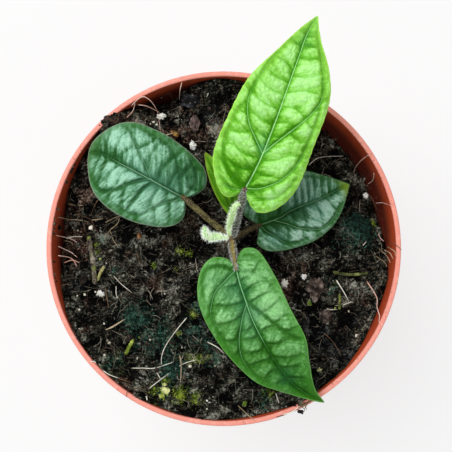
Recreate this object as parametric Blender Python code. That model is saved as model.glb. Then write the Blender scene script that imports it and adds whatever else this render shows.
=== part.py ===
"""A young piper plant in its round nursery pot, as separate solids in metres with +Z up.

The origin lies on the pot's axis, on the surface that the pot stands on. The plant's main stem rises
beside that axis, and each leaf is a blade on its own stalk.
"""
import math
from dataclasses import dataclass

import bmesh
import bpy
import numpy as np
from mathutils import Euler, Matrix, Vector, noise

MM = 0.001
GAP = 0.35 * MM  # the clearance between two pieces that touch
SOIL_CLEARANCE = 0.5 * MM  # between the root ball and the pot's wall

# The pot: a lip, a collar under it, a tapered wall and a foot.
RIM_RADIUS = 60 * MM
POT_HEIGHT = 95 * MM
LIP_WIDTH = 2.5 * MM
LIP_HEIGHT = 3 * MM
LIP_ROUNDING = 0.5 * MM
COLLAR_HEIGHT = 14 * MM
COLLAR_DRAFT = 0.8 * MM
WALL = 1.4 * MM
LEDGE_DROP = 2 * MM
FOOT_RADIUS = 42.8 * MM
FOOT_WIDTH = 4 * MM
FOOT_HEIGHT = 3 * MM
CENTRE_PAD_RADIUS = 14 * MM
POT_SEGMENTS = 64
DRAIN_HOLES = 8
DRAIN_HOLE_RADIUS = 4 * MM
DRAIN_CIRCLE_RADIUS = 27 * MM

# The soil's surface: its depth below the rim in the middle, and along the wall at equal steps
# anticlockwise from +X.
SOIL_DEPTH_CENTRE = 9 * MM
SOIL_DEPTH_AT_WALL = [depth * MM for depth in (13, 17, 18, 8, 4, 2.5, 4.5, 8, 6, 4.5, 4, 4, 6, 9)]
SOIL_SLOPE_START = 0.5  # the share of the radius where the surface starts to lean to the wall
SOIL_SEGMENTS = 48
SOIL_RINGS = (0.12, 0.25, 0.38, 0.5, 0.62, 0.73, 0.82, 0.9, 0.96, 1.0)

LEAF_THICKNESS = 0.55 * MM
LEAF_ROWS = 14
LEAF_COLUMNS = 5  # on each side of the midrib
TUBE_SIDES_RESOLUTION = 3  # a curve's bevel resolution, which makes ten sides


@dataclass
class Leaf:
    """A blade: where it starts and ends, and its outline on both sides of the line from base to tip.

    An outline's points are (along, out) shares of the blade's length, from the notch at the stalk
    round the lobe to the tip. The relief's three heights are in metres.
    """

    name: str
    base: Vector
    tip: Vector
    left: list
    right: list
    bow: float  # how far the midrib bends to the left of the straight line, as a share of the length
    arch: float  # how high the midrib rises between base and tip
    fold: float  # how far the blade rises from the midrib to half of its width
    droop: float  # how far the margins hang
    stalk: str
    material: str


def millimetres(*values):
    return Vector(values) * MM


LEAVES = [
    Leaf(
        "leaf_left", millimetres(-13.1, 17, 101), millimetres(-45.7, 32.3, 96),
        [(-0.05, 0.08), (-0.07, 0.17), (-0.02, 0.27), (0.12, 0.35), (0.37, 0.4), (0.62, 0.375), (0.8, 0.29), (0.93, 0.13)],
        [(-0.08, -0.07), (-0.13, -0.18), (-0.08, -0.3), (0.06, -0.38), (0.32, -0.445), (0.6, -0.455), (0.79, -0.41),
         (0.92, -0.28), (1.0, -0.12)],
        -0.03, 6 * MM, 2.5 * MM, 6 * MM, "petiole_left", "leaf_dark",
    ),
    Leaf(
        "leaf_top", millimetres(6.7, 19.3, 115), millimetres(28.9, 72.1, 122),
        [(-0.06, 0.04), (-0.075, 0.1), (0, 0.18), (0.12, 0.235), (0.32, 0.235), (0.54, 0.21), (0.75, 0.12), (0.89, 0.06)],
        [(-0.06, -0.05), (-0.09, -0.12), (-0.03, -0.205), (0.11, -0.26), (0.36, -0.25), (0.58, -0.235), (0.73, -0.17),
         (0.88, -0.06)],
        0.005, 6 * MM, 3 * MM, 3 * MM, "petiole_top", "leaf_young",
    ),
    Leaf(
        "leaf_front", millimetres(4, -6, 105), millimetres(33.7, -51.3, 99),
        [(-0.05, 0.05), (-0.07, 0.11), (-0.01, 0.17), (0.17, 0.17), (0.38, 0.14), (0.58, 0.12), (0.72, 0.06), (0.88, 0)],
        [(-0.07, -0.01), (-0.13, -0.09), (-0.1, -0.19), (0.02, -0.29), (0.2, -0.335), (0.42, -0.33), (0.64, -0.28),
         (0.8, -0.165), (0.92, -0.07)],
        -0.11, 3.5 * MM, 2.5 * MM, 4 * MM, "petiole_front", "leaf_green",
    ),
    Leaf(
        "leaf_right", millimetres(12.3, 8, 94), millimetres(43.1, 22, 92),
        [(-0.07, 0.09), (-0.1, 0.18), (0, 0.33), (0.17, 0.395), (0.4, 0.395), (0.62, 0.32), (0.78, 0.195), (0.9, 0.09)],
        [(-0.07, -0.1), (-0.1, -0.17), (-0.02, -0.28), (0.18, -0.345), (0.42, -0.37), (0.64, -0.32), (0.8, -0.215),
         (0.92, -0.09)],
        0.02, 2 * MM, 2 * MM, 3 * MM, "petiole_right", "leaf_dark",
    ),
    Leaf(
        "leaf_small", millimetres(3.1, 12.3, 104), millimetres(-6, 31.4, 109),
        [(-0.04, 0.04), (0.04, 0.1), (0.25, 0.13), (0.5, 0.13), (0.8, 0.08)],
        [(-0.04, -0.05), (0.04, -0.12), (0.22, -0.19), (0.5, -0.2), (0.8, -0.11)],
        0, 1.5 * MM, 1 * MM, 1 * MM, "petiole_small", "leaf_olive",
    ),
]

# Stems and stalks: route points and the radius at each, in millimetres. Each stalk starts inside
# the stem, which then cuts it back to the stem's surface.
STEM = [(1.5, 1, 60, 1.3), (1.6, 1.5, 84, 1.7), (2.3, 2.7, 95, 1.75), (2.7, 3.5, 101, 2), (2.75, 3.7, 103.4, 1.7),
        (2.75, 3.7, 104.2, 0.7)]
STALKS = {
    "petiole_left": [(2.3, 3.6, 99.5, 1), (-0.7, 6.3, 100.4, 1.1), (-7, 11.6, 101.6, 1.1), (-13.1, 17, 101.1, 1.2),
                     (-15.2, 18.2, 101.2, 0.6)],
    "petiole_top": [(2.8, 3.7, 101.6, 1.1), (3.6, 6.6, 103.8, 1.1), (5, 12.5, 109.6, 1.2), (6.6, 19, 114.7, 1.5),
                    (7.4, 21.2, 115.8, 0.6)],
    "petiole_front": [(2.8, 3, 101.6, 1.5), (2.9, 0.3, 103, 1.7), (3.4, -3.2, 104.5, 1.2), (4.1, -6.4, 105, 0.8),
                      (4.7, -8, 105.2, 0.5)],
    "petiole_right": [(2.1, 2.4, 92, 0.9), (6, 4.9, 91.2, 1), (10, 6.9, 92.6, 1), (12.5, 8.1, 93.9, 1),
                      (14.4, 9, 94.2, 0.5)],
    "petiole_small": [(2.5, 3.6, 98, 0.6), (2.6, 7, 99.4, 0.7), (3, 12.2, 103.6, 0.8), (2.3, 13.9, 104.3, 0.4)],
}
SHOOTS = {
    "shoot_tip": [(2.3, 4, 102.6, 0.8), (1.6, 6.8, 104.6, 1.1), (2.6, 10.4, 110, 1.2), (3.6, 13.3, 114.6, 1.1),
                  (4.5, 14.3, 115.8, 0.8), (5.5, 13.9, 116.1, 0.4)],
    "side_bud": [(2.1, 3.8, 101.8, 1), (-0.5, 3.9, 102.4, 1.4), (-3.2, 3.9, 103.2, 1.8), (-5.6, 3.8, 104.4, 1.8),
                 (-6.8, 4.8, 106, 1.3), (-6.7, 6.8, 107.8, 0.6)],
}

# What lies on the soil: (x, y) of the centre, three diameters and a turn about Z, in millimetres and degrees.
PERLITE = [(-21.5, 45.6, 3.2, 2.4, 2, 10), (-10.7, 35.9, 2.4, 4, 2.2, 15), (-42.8, -15.7, 2.9, 2.7, 2.2, 40),
           (21.3, -12.2, 2.8, 2.5, 2.2, 70), (28, -10.1, 2.4, 2.2, 2, 0), (-5.5, -53.4, 3.2, 2.6, 2.2, 20),
           (-20.4, -49.6, 4.2, 3.8, 3, 35), (50.2, 18.4, 2.2, 2.8, 2, 0), (33.2, -42.2, 2.4, 2, 2, 50)]
BARK = [(-10.7, 50.6, 6.5, 5.4, 4.4, 25), (-10.2, 43.6, 5.2, 4.2, 3.6, 70), (31.5, -14.6, 5.5, 9, 4, 20),
        (35.3, -24, 4.6, 4.2, 3.2, 55)]
MOSS = [(46.5, 6, 12, 13, 5, 15), (-19.2, -42.4, 9.5, 8, 4, 30), (-32, -24.4, 10, 8, 4, 50)]
TWIGS = {
    "twig_1": [(-46.6, 4.2), (-45.6, -4), (-44.6, -12.6), 0.9],
    "twig_2": [(38, -8.3), (44, -9.3), (50.5, -8.8), 0.8],
    "twig_3": [(-34.4, -37.6), (-32.6, -34.4), (-31.2, -30.6), 0.8],
}

MATERIALS = {
    "pot_plastic": ((0.8, 0.28, 0.19), 0.45),
    "soil": ((0.03, 0.022, 0.016), 0.95),
    "stem": ((0.1, 0.09, 0.05), 0.7),
    "leaf_dark": ((0.06, 0.22, 0.1), 0.4),
    "leaf_green": ((0.1, 0.3, 0.1), 0.4),
    "leaf_young": ((0.22, 0.55, 0.08), 0.4),
    "leaf_olive": ((0.1, 0.26, 0.02), 0.45),
    "shoot": ((0.5, 0.65, 0.4), 0.8),
    "perlite": ((0.75, 0.75, 0.68), 0.8),
    "bark": ((0.03, 0.02, 0.015), 0.85),
    "twig": ((0.12, 0.11, 0.04), 0.8),
    "moss": ((0.03, 0.07, 0.03), 0.9),
}


def clear_scene():
    for obj in list(bpy.data.objects):
        bpy.data.objects.remove(obj, do_unlink=True)


def plain_material(name):
    """The material of that name, made at its first use."""
    if name in bpy.data.materials:
        return bpy.data.materials[name]
    colour, roughness = MATERIALS[name]
    material = bpy.data.materials.new(name)
    material.use_nodes = True
    shader = material.node_tree.nodes["Principled BSDF"]
    shader.inputs["Base Color"].default_value = (*colour, 1)
    shader.inputs["Roughness"].default_value = roughness
    shader.inputs["Metallic"].default_value = 0
    return material


def add_object(name, mesh, material):
    obj = bpy.data.objects.new(name, mesh)
    bpy.context.scene.collection.objects.link(obj)
    mesh.materials.append(plain_material(material))
    mesh.shade_smooth()
    mesh.set_sharp_from_angle(angle=math.radians(40))
    return obj


def mesh_from(bm, name):
    bmesh.ops.recalc_face_normals(bm, faces=bm.faces)
    mesh = bpy.data.meshes.new(name)
    bm.to_mesh(mesh)
    bm.free()
    return mesh


def smooth_through(points, count):
    """count points, evenly spaced along a smooth curve through the given ones."""
    given = np.array(points, float)
    ends = np.vstack([2 * given[0] - given[1], given, 2 * given[-1] - given[-2]])
    fine = []
    for before, start, end, after in zip(ends, ends[1:], ends[2:], ends[3:]):
        for t in np.linspace(0, 1, 16, endpoint=False):
            turn = 2 * start + (end - before) * t
            turn = turn + (2 * before - 5 * start + 4 * end - after) * t**2
            fine.append((turn + (3 * start - before - 3 * end + after) * t**3) / 2)
    fine = np.array(fine + [given[-1]])
    steps = np.linalg.norm(np.diff(fine, axis=0), axis=1)
    run = np.concatenate([[0], np.cumsum(steps)])
    wanted = np.linspace(0, run[-1], count)
    return np.stack([np.interp(wanted, run, column) for column in fine.T], axis=1)


def cut(obj, cutter):
    modifier = obj.modifiers.new("cut_" + cutter.name, "BOOLEAN")
    modifier.operation = "DIFFERENCE"
    modifier.object = cutter
    modifier.solver = "EXACT"


def grown_copy(obj, by, collection=None):
    """A hidden copy of the object, larger by that distance all over, to cut its neighbours with."""
    mesh = obj.data.copy()
    bm = bmesh.new()
    bm.from_mesh(mesh)
    bm.normal_update()
    moved = [vertex.co + vertex.normal * by for vertex in bm.verts]
    for vertex, place in zip(bm.verts, moved):
        vertex.co = place
    bm.to_mesh(mesh)
    bm.free()
    copy = bpy.data.objects.new(obj.name + "_room", mesh)
    (collection or bpy.context.scene.collection).objects.link(copy)
    copy.hide_render = True
    copy.display_type = "WIRE"
    return copy


# ---- pot ----


def inner_radius(z):
    """The pot's inner radius at that height."""
    lip_inner = RIM_RADIUS - LIP_WIDTH
    ledge_top = POT_HEIGHT - COLLAR_HEIGHT
    collar_inner = lip_inner - COLLAR_DRAFT
    ledge_inner = collar_inner - WALL * 0.9
    floor_inner = FOOT_RADIUS - WALL
    heights = [FOOT_HEIGHT, ledge_top - LEDGE_DROP, ledge_top, POT_HEIGHT]
    return float(np.interp(z, heights, [floor_inner, ledge_inner, collar_inner, lip_inner]))


def pot_profile():
    """(radius, height) points, from the axis under the pot, up the outside and down the inside."""
    collar_bottom = POT_HEIGHT - COLLAR_HEIGHT - LEDGE_DROP / 2
    collar_outer = RIM_RADIUS - 1 * MM
    foot_inner = FOOT_RADIUS - FOOT_WIDTH
    floor = FOOT_HEIGHT + WALL
    return [
        (0, 0),
        (CENTRE_PAD_RADIUS, 0),
        (CENTRE_PAD_RADIUS + 2 * MM, FOOT_HEIGHT),
        (foot_inner - 1 * MM, FOOT_HEIGHT),
        (foot_inner, 0),
        (FOOT_RADIUS - 0.6 * MM, 0),
        (FOOT_RADIUS, 0.6 * MM),
        (inner_radius(collar_bottom - 1 * MM) + WALL, collar_bottom),
        (collar_outer - 0.5 * MM, collar_bottom),
        (collar_outer, POT_HEIGHT - LIP_HEIGHT),
        (RIM_RADIUS, POT_HEIGHT - LIP_HEIGHT),
        (RIM_RADIUS, POT_HEIGHT - LIP_ROUNDING),
        (RIM_RADIUS - LIP_ROUNDING, POT_HEIGHT),
        (RIM_RADIUS - LIP_WIDTH + LIP_ROUNDING, POT_HEIGHT),
        (inner_radius(POT_HEIGHT - LIP_ROUNDING), POT_HEIGHT - LIP_ROUNDING),
        (inner_radius(POT_HEIGHT - COLLAR_HEIGHT), POT_HEIGHT - COLLAR_HEIGHT),
        (inner_radius(POT_HEIGHT - COLLAR_HEIGHT - LEDGE_DROP), POT_HEIGHT - COLLAR_HEIGHT - LEDGE_DROP),
        (inner_radius(floor + 2 * MM), floor + 2 * MM),
        (inner_radius(floor) - 2 * MM, floor),
        (CENTRE_PAD_RADIUS + 1 * MM, floor),
        (CENTRE_PAD_RADIUS - 1 * MM, WALL),
        (0, WALL),
    ]


def turned_mesh(name, profile, segments):
    """A closed solid of revolution about Z, from a profile that starts and ends on the axis."""
    bm = bmesh.new()
    verts = [bm.verts.new((radius, 0, z)) for radius, z in profile]
    edges = [bm.edges.new(pair) for pair in zip(verts, verts[1:])]
    bmesh.ops.spin(
        bm, geom=verts + edges, axis=(0, 0, 1), cent=(0, 0, 0), angle=math.tau, steps=segments, use_merge=True
    )
    bmesh.ops.remove_doubles(bm, verts=bm.verts, dist=0.001 * MM)
    return mesh_from(bm, name)


def make_pot():
    pot = add_object("pot", turned_mesh("pot", pot_profile(), POT_SEGMENTS), "pot_plastic")
    holes = bmesh.new()
    for number in range(DRAIN_HOLES):
        turn = Matrix.Rotation(math.tau * (number + 0.5) / DRAIN_HOLES, 4, "Z")
        place = turn @ Matrix.Translation((DRAIN_CIRCLE_RADIUS, 0, FOOT_HEIGHT))
        bmesh.ops.create_cone(
            holes, cap_ends=True, segments=16, radius1=DRAIN_HOLE_RADIUS, radius2=DRAIN_HOLE_RADIUS,
            depth=6 * WALL, matrix=place,
        )
    cutter = bpy.data.objects.new("drain_holes", mesh_from(holes, "drain_holes"))
    bpy.context.scene.collection.objects.link(cutter)
    cutter.hide_render = True
    cutter.display_type = "WIRE"
    cut(pot, cutter)
    return pot


# ---- soil ----


def soil_height(x, y):
    """The height of the soil's surface at (x, y)."""
    turn = math.atan2(y, x) / math.tau % 1 * len(SOIL_DEPTH_AT_WALL)
    step = int(turn)
    share = turn - step
    share = share * share * (3 - 2 * share)
    here = SOIL_DEPTH_AT_WALL[step % len(SOIL_DEPTH_AT_WALL)]
    after = SOIL_DEPTH_AT_WALL[(step + 1) % len(SOIL_DEPTH_AT_WALL)]
    wall_depth = here + (after - here) * share
    reach = math.hypot(x, y) / (RIM_RADIUS - LIP_WIDTH)
    lean = min(max((reach - SOIL_SLOPE_START) / (1 - SOIL_SLOPE_START), 0), 1)
    depth = SOIL_DEPTH_CENTRE + (wall_depth - SOIL_DEPTH_CENTRE) * lean**2
    bumps = 1.1 * MM * math.sin(x / (6 * MM) + 1) * math.cos(y / (7 * MM)) * (1 - lean)
    return POT_HEIGHT - depth + bumps


def make_soil(cutters):
    """The root ball: a surface of rings about the axis, then sides and an underside that follow the pot."""
    floor = FOOT_HEIGHT + WALL + GAP
    ledge = POT_HEIGHT - COLLAR_HEIGHT
    side_heights = [ledge, ledge - LEDGE_DROP / 2, ledge - LEDGE_DROP, floor + 2 * MM]
    underside = [
        (inner_radius(floor) - 2.2 * MM, floor),
        (CENTRE_PAD_RADIUS + 1 * MM, floor),
        (CENTRE_PAD_RADIUS - 1.3 * MM, WALL + GAP),
    ]
    bm = bmesh.new()
    columns = []
    for number in range(SOIL_SEGMENTS):
        angle = math.tau * number / SOIL_SEGMENTS
        across = Vector((math.cos(angle), math.sin(angle), 0))
        wall_top = across * inner_radius(POT_HEIGHT)
        edge_height = soil_height(wall_top.x, wall_top.y)
        edge_radius = inner_radius(edge_height) - SOIL_CLEARANCE
        column = []
        for share in SOIL_RINGS:
            place = across * edge_radius * share
            surface = wall_top * share
            column.append(Vector((place.x, place.y, soil_height(surface.x, surface.y))))
        height = edge_height
        for side in side_heights:
            height = min(height - 0.5 * MM, side)
            column.append(across * (inner_radius(height) - SOIL_CLEARANCE) + Vector((0, 0, height)))
        for radius, height in underside:
            column.append(across * radius + Vector((0, 0, height)))
        columns.append([bm.verts.new(place) for place in column])
    top = bm.verts.new((0, 0, soil_height(0, 0)))
    bottom = bm.verts.new((0, 0, WALL + GAP))
    for column, after in zip(columns, columns[1:] + columns[:1]):
        bm.faces.new((top, column[0], after[0]))
        for low, high in zip(range(len(column)), range(1, len(column))):
            bm.faces.new((column[low], column[high], after[high], after[low]))
        bm.faces.new((column[-1], bottom, after[-1]))
    soil = add_object("soil", mesh_from(bm, "soil"), "soil")
    modifier = soil.modifiers.new("pockets", "BOOLEAN")
    modifier.operation = "DIFFERENCE"
    modifier.operand_type = "COLLECTION"
    modifier.collection = cutters
    modifier.solver = "EXACT"
    return soil


# ---- stems, stalks and shoots ----


def tube(name, route, material, points=14):
    """A round tapered tube along a smooth route of (x, y, z, radius) in millimetres."""
    curve = bpy.data.curves.new(name, "CURVE")
    curve.dimensions = "3D"
    curve.bevel_depth = MM
    curve.bevel_resolution = TUBE_SIDES_RESOLUTION
    curve.use_fill_caps = True
    spline = curve.splines.new("POLY")
    smooth = smooth_through(route, points)
    spline.points.add(len(smooth) - 1)
    for point, (x, y, z, radius) in zip(spline.points, smooth):
        point.co = (x * MM, y * MM, z * MM, 1)
        point.radius = radius
    guide = bpy.data.objects.new(name + "_route", curve)
    bpy.context.scene.collection.objects.link(guide)
    bpy.context.view_layer.update()
    evaluated = guide.evaluated_get(bpy.context.evaluated_depsgraph_get())
    bm = bmesh.new()
    bm.from_mesh(evaluated.to_mesh())
    evaluated.to_mesh_clear()
    bpy.data.objects.remove(guide, do_unlink=True)
    bmesh.ops.remove_doubles(bm, verts=bm.verts, dist=0.001 * MM)
    return add_object(name, mesh_from(bm, name), material)


def make_plant(soil_cutters):
    stem = tube("stem", STEM, "stem", 20)
    grown_copy(stem, GAP, soil_cutters)
    stem_room = grown_copy(stem, GAP)
    stem_room.name = "stem_node_room"
    stalks = {name: tube(name, route, "stem") for name, route in STALKS.items()}
    shoots = {name: tube(name, route, "shoot", 18) for name, route in SHOOTS.items()}
    for piece in (*stalks.values(), *shoots.values()):
        cut(piece, stem_room)
    stalk_rooms = {name: grown_copy(stalk, GAP) for name, stalk in stalks.items()}
    cut(shoots["shoot_tip"], stalk_rooms["petiole_top"])
    for leaf in LEAVES:
        blade = make_leaf(leaf)
        cut(blade, stalk_rooms[leaf.stalk])


# ---- leaves ----


def leaf_height(leaf, along, out, half_width):
    """The blade's height over the straight line from base to tip, at shares along and out."""
    across = min(abs(out) / half_width, 1.2)
    rise = leaf.arch * 4 * along * (1 - along)
    return rise + leaf.fold * across * (2 - across) - leaf.droop * across**2


def make_leaf(leaf):
    """A thin blade: rows of spokes that fan out from the midrib to the outline."""
    chord = leaf.tip - leaf.base
    length = math.hypot(chord.x, chord.y)
    ahead = Vector((chord.x, chord.y, 0)) / length
    leftwards = Vector((-ahead.y, ahead.x, 0))
    half_width = max(abs(out) for _, out in leaf.left + leaf.right)
    sides = {
        1: smooth_through([(0, 0), *leaf.left, (1, 0)], LEAF_ROWS + 1),
        -1: smooth_through([(0, 0), *leaf.right, (1, 0)], LEAF_ROWS + 1),
    }
    bm = bmesh.new()
    grid = []
    for row in range(LEAF_ROWS + 1):
        share = (row / LEAF_ROWS) ** 1.5
        midrib = np.array((share, leaf.bow * 4 * share * (1 - share)))
        verts = []
        for column in range(-LEAF_COLUMNS, LEAF_COLUMNS + 1):
            edge = sides[1 if column >= 0 else -1][row]
            along, out = midrib + (edge - midrib) * abs(column) / LEAF_COLUMNS
            bent = out - leaf.bow * 4 * share * (1 - share) * (1 - abs(column) / LEAF_COLUMNS)
            height = leaf_height(leaf, along, bent, half_width) + chord.z * along
            verts.append(bm.verts.new(
                leaf.base + ahead * along * length + leftwards * out * length + Vector((0, 0, height))
            ))
        grid.append(verts)
    for row, after in zip(grid, grid[1:]):
        for column in range(2 * LEAF_COLUMNS):
            bm.faces.new((row[column], row[column + 1], after[column + 1], after[column]))
    bmesh.ops.remove_doubles(bm, verts=bm.verts, dist=0.02 * MM)
    blade = add_object(leaf.name, mesh_from(bm, leaf.name), leaf.material)
    thick = blade.modifiers.new("thickness", "SOLIDIFY")
    thick.thickness = LEAF_THICKNESS
    thick.offset = 0
    return blade


# ---- what lies on the soil ----


def lump(name, number, place, material, roughness, sink, detail=2):
    """A rounded uneven lump, sunk into the soil by a share of its height."""
    x, y, width, depth, height, turn = place
    bm = bmesh.new()
    bmesh.ops.create_icosphere(bm, subdivisions=detail, radius=0.5)
    for vertex in bm.verts:
        vertex.co *= 1 + roughness * noise.noise(vertex.co * 3 + Vector((7 * number, 0, 0)))
    bmesh.ops.scale(bm, vec=Vector((width, depth, height)) * MM, verts=bm.verts)
    tilt = 0.25 * math.sin(number)
    bmesh.ops.rotate(bm, matrix=Euler((tilt, -tilt, math.radians(turn))).to_matrix(), verts=bm.verts)
    centre = Vector((x, y, 0)) * MM
    centre.z = soil_height(centre.x, centre.y) + height * MM * (0.5 - sink)
    bmesh.ops.translate(bm, vec=centre, verts=bm.verts)
    return add_object(name, mesh_from(bm, name), material)


def make_litter(cutters):
    """The grains, chips, cushions and twigs that lie in the soil's surface, each in its own pocket."""
    pieces = []
    for number, place in enumerate(PERLITE, 1):
        pieces.append(lump(f"perlite_{number}", number, place, "perlite", 0.35, 0.4))
    for number, place in enumerate(BARK, 1):
        pieces.append(lump(f"bark_chip_{number}", number + 20, place, "bark", 0.7, 0.4))
    for number, place in enumerate(MOSS, 1):
        pieces.append(lump(f"moss_cushion_{number}", number + 40, place, "moss", 0.3, 0.5))
    for name, (*route, radius) in TWIGS.items():
        points = []
        for x, y in route:
            points.append((x, y, soil_height(x * MM, y * MM) / MM + radius * 0.3, radius))
        pieces.append(tube(name, points, "twig", 8))
    for piece in pieces:
        grown_copy(piece, GAP, cutters)


def main():
    clear_scene()
    soil_cutters = bpy.data.collections.new("soil_pockets")
    bpy.context.scene.collection.children.link(soil_cutters)
    soil_cutters.hide_render = True
    make_pot()
    make_plant(soil_cutters)
    make_litter(soil_cutters)
    make_soil(soil_cutters)


main()
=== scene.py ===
"""Surfaces, hairs, soil and light for a young piper plant in its nursery pot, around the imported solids.

The file is laid out as an add-on: each operator dresses one piece or one group of like pieces, and the
panel lists them. Run as a script it calls them all in order.
"""

import math
import random
from dataclasses import dataclass

import bmesh
import bpy
import numpy as np
from bpy.props import FloatProperty, FloatVectorProperty, IntProperty, PointerProperty
from mathutils import Matrix, Vector, noise
from mathutils.bvhtree import BVHTree


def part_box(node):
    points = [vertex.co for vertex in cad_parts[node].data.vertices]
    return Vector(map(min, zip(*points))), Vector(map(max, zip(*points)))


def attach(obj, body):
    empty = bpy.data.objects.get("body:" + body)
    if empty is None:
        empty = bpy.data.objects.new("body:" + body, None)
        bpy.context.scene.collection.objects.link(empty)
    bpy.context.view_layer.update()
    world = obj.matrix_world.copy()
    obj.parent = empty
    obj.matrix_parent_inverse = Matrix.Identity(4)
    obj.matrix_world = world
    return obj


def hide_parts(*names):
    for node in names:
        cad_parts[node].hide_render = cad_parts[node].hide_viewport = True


bl_info = {
    "name": "Potted Piper Plant",
    "version": (1, 0, 0),
    "blender": (4, 5, 0),
    "location": "View3D > Sidebar > Piper",
    "description": "Dresses the packed solids of a young piper plant in its nursery pot",
    "category": "Object",
}

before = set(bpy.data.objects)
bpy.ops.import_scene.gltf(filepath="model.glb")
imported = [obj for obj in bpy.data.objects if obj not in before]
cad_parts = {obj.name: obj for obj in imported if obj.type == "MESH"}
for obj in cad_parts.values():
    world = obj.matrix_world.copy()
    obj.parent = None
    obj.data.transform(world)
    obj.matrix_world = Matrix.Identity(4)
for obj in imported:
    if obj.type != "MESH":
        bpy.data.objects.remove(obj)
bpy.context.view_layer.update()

MM = 0.001
BODY = "root"
POT_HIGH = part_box("pot")[1]
RIM_RADIUS = POT_HIGH.x
RIM_HEIGHT = POT_HIGH.z
# Seeds of the leaves' cells and of what is strewn over the soil
SEEDS = {"cells": 7, "crumbs": 11, "fibres": 23, "straws": 41, "moss": 5, "bits": 31}


def paint(code):
    """A screen colour such as "8FD66A" as linear red, green and blue."""
    parts = [int(code[place:place + 2], 16) / 255 for place in (0, 2, 4)]
    return tuple(part / 12.92 if part <= 0.04045 else ((part + 0.055) / 1.055) ** 2.4 for part in parts)


# ---- settings ----


def colour_property(name, description, code):
    return FloatVectorProperty(
        name=name, description=description, subtype="COLOR", size=3, min=0, max=1, default=paint(code)
    )


def length_property(name, description, millimetres):
    return FloatProperty(
        name=name, description=description, subtype="DISTANCE", unit="LENGTH", min=0, default=millimetres * MM
    )


class PotSettings(bpy.types.PropertyGroup):
    plastic: colour_property("Plastic", "Colour of the pot's plastic", "DB7A60")
    # The rim's top colour: painted light, paler where it faces the lamps.
    lit_rim: colour_property("Scuffed rim", "Colour of the rim where handling has paled it", "F7A090")
    # The inner wall's colour is the plastic darkened by painted shade.
    inside: colour_property("Inner wall", "Colour of the inner wall, which stays damp", "BC4A26")
    lip_width: length_property("Lip width", "Width of the rim seen from above", 1.7)
    collar_height: length_property("Collar height", "Height of the collar below the rim", 14)


class LeafSettings(bpy.types.PropertyGroup):
    thickness: length_property("Thickness", "Thickness of a blade between its veins", 0.35)
    quilting: length_property("Quilting", "How far a blade bulges between its veins", 1.25)
    groove: length_property("Groove", "How deep the main veins are sunk", 0.35)
    rows: IntProperty(
        name="Rows", description="Faces along each side of the longest blade", min=40, default=250
    )


class SoilSettings(bpy.types.PropertyGroup):
    crumbs: IntProperty(name="Crumbs", description="Loose crumbs on the surface", min=0, default=1100)
    fibres: IntProperty(name="Fibres", description="Fine root fibres on the surface", min=0, default=1000)


class StalkSettings(bpy.types.PropertyGroup):
    hair_thickness: length_property("Hair thickness", "Thickness of a hair at its foot", 0.11)


class StageSettings(bpy.types.PropertyGroup):
    camera_height: length_property("Camera height", "Height of the camera over the rim", 280)
    view_width: length_property("View width", "Width of the view at the rim's height", 152.7)
    key_power: FloatProperty(
        name="Key power", description="Power of the main softbox", unit="POWER", default=9.6
    )


class PiperSettings(bpy.types.PropertyGroup):
    pot: PointerProperty(type=PotSettings, name="Pot", description="The nursery pot")
    leaf: PointerProperty(type=LeafSettings, name="Leaves", description="The blades")
    soil: PointerProperty(type=SoilSettings, name="Soil", description="The soil and what lies on it")
    stalk: PointerProperty(type=StalkSettings, name="Stalks", description="Stem, stalks and shoots")
    stage: PointerProperty(type=StageSettings, name="Stage", description="Camera, floor and lights")


# ---- materials ----


class Wire:
    """A socket of a material's node tree. Arithmetic on it adds Math nodes."""

    def __init__(self, finish, socket):
        self.finish = finish
        self.socket = socket

    def maths(self, operation, *others, clamp=False):
        values = dict(enumerate((self, *others)))
        return self.finish.add("ShaderNodeMath", {"operation": operation, "use_clamp": clamp}, values)

    def __add__(self, other):
        return self.maths("ADD", other)

    __radd__ = __add__

    def __sub__(self, other):
        return self.maths("SUBTRACT", other)

    def __rsub__(self, other):
        return self.maths("MULTIPLY", -1) + other

    def __mul__(self, other):
        return self.maths("MULTIPLY", other)

    __rmul__ = __mul__

    def clamped(self):
        return self.maths("ADD", 0, clamp=True)


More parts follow.
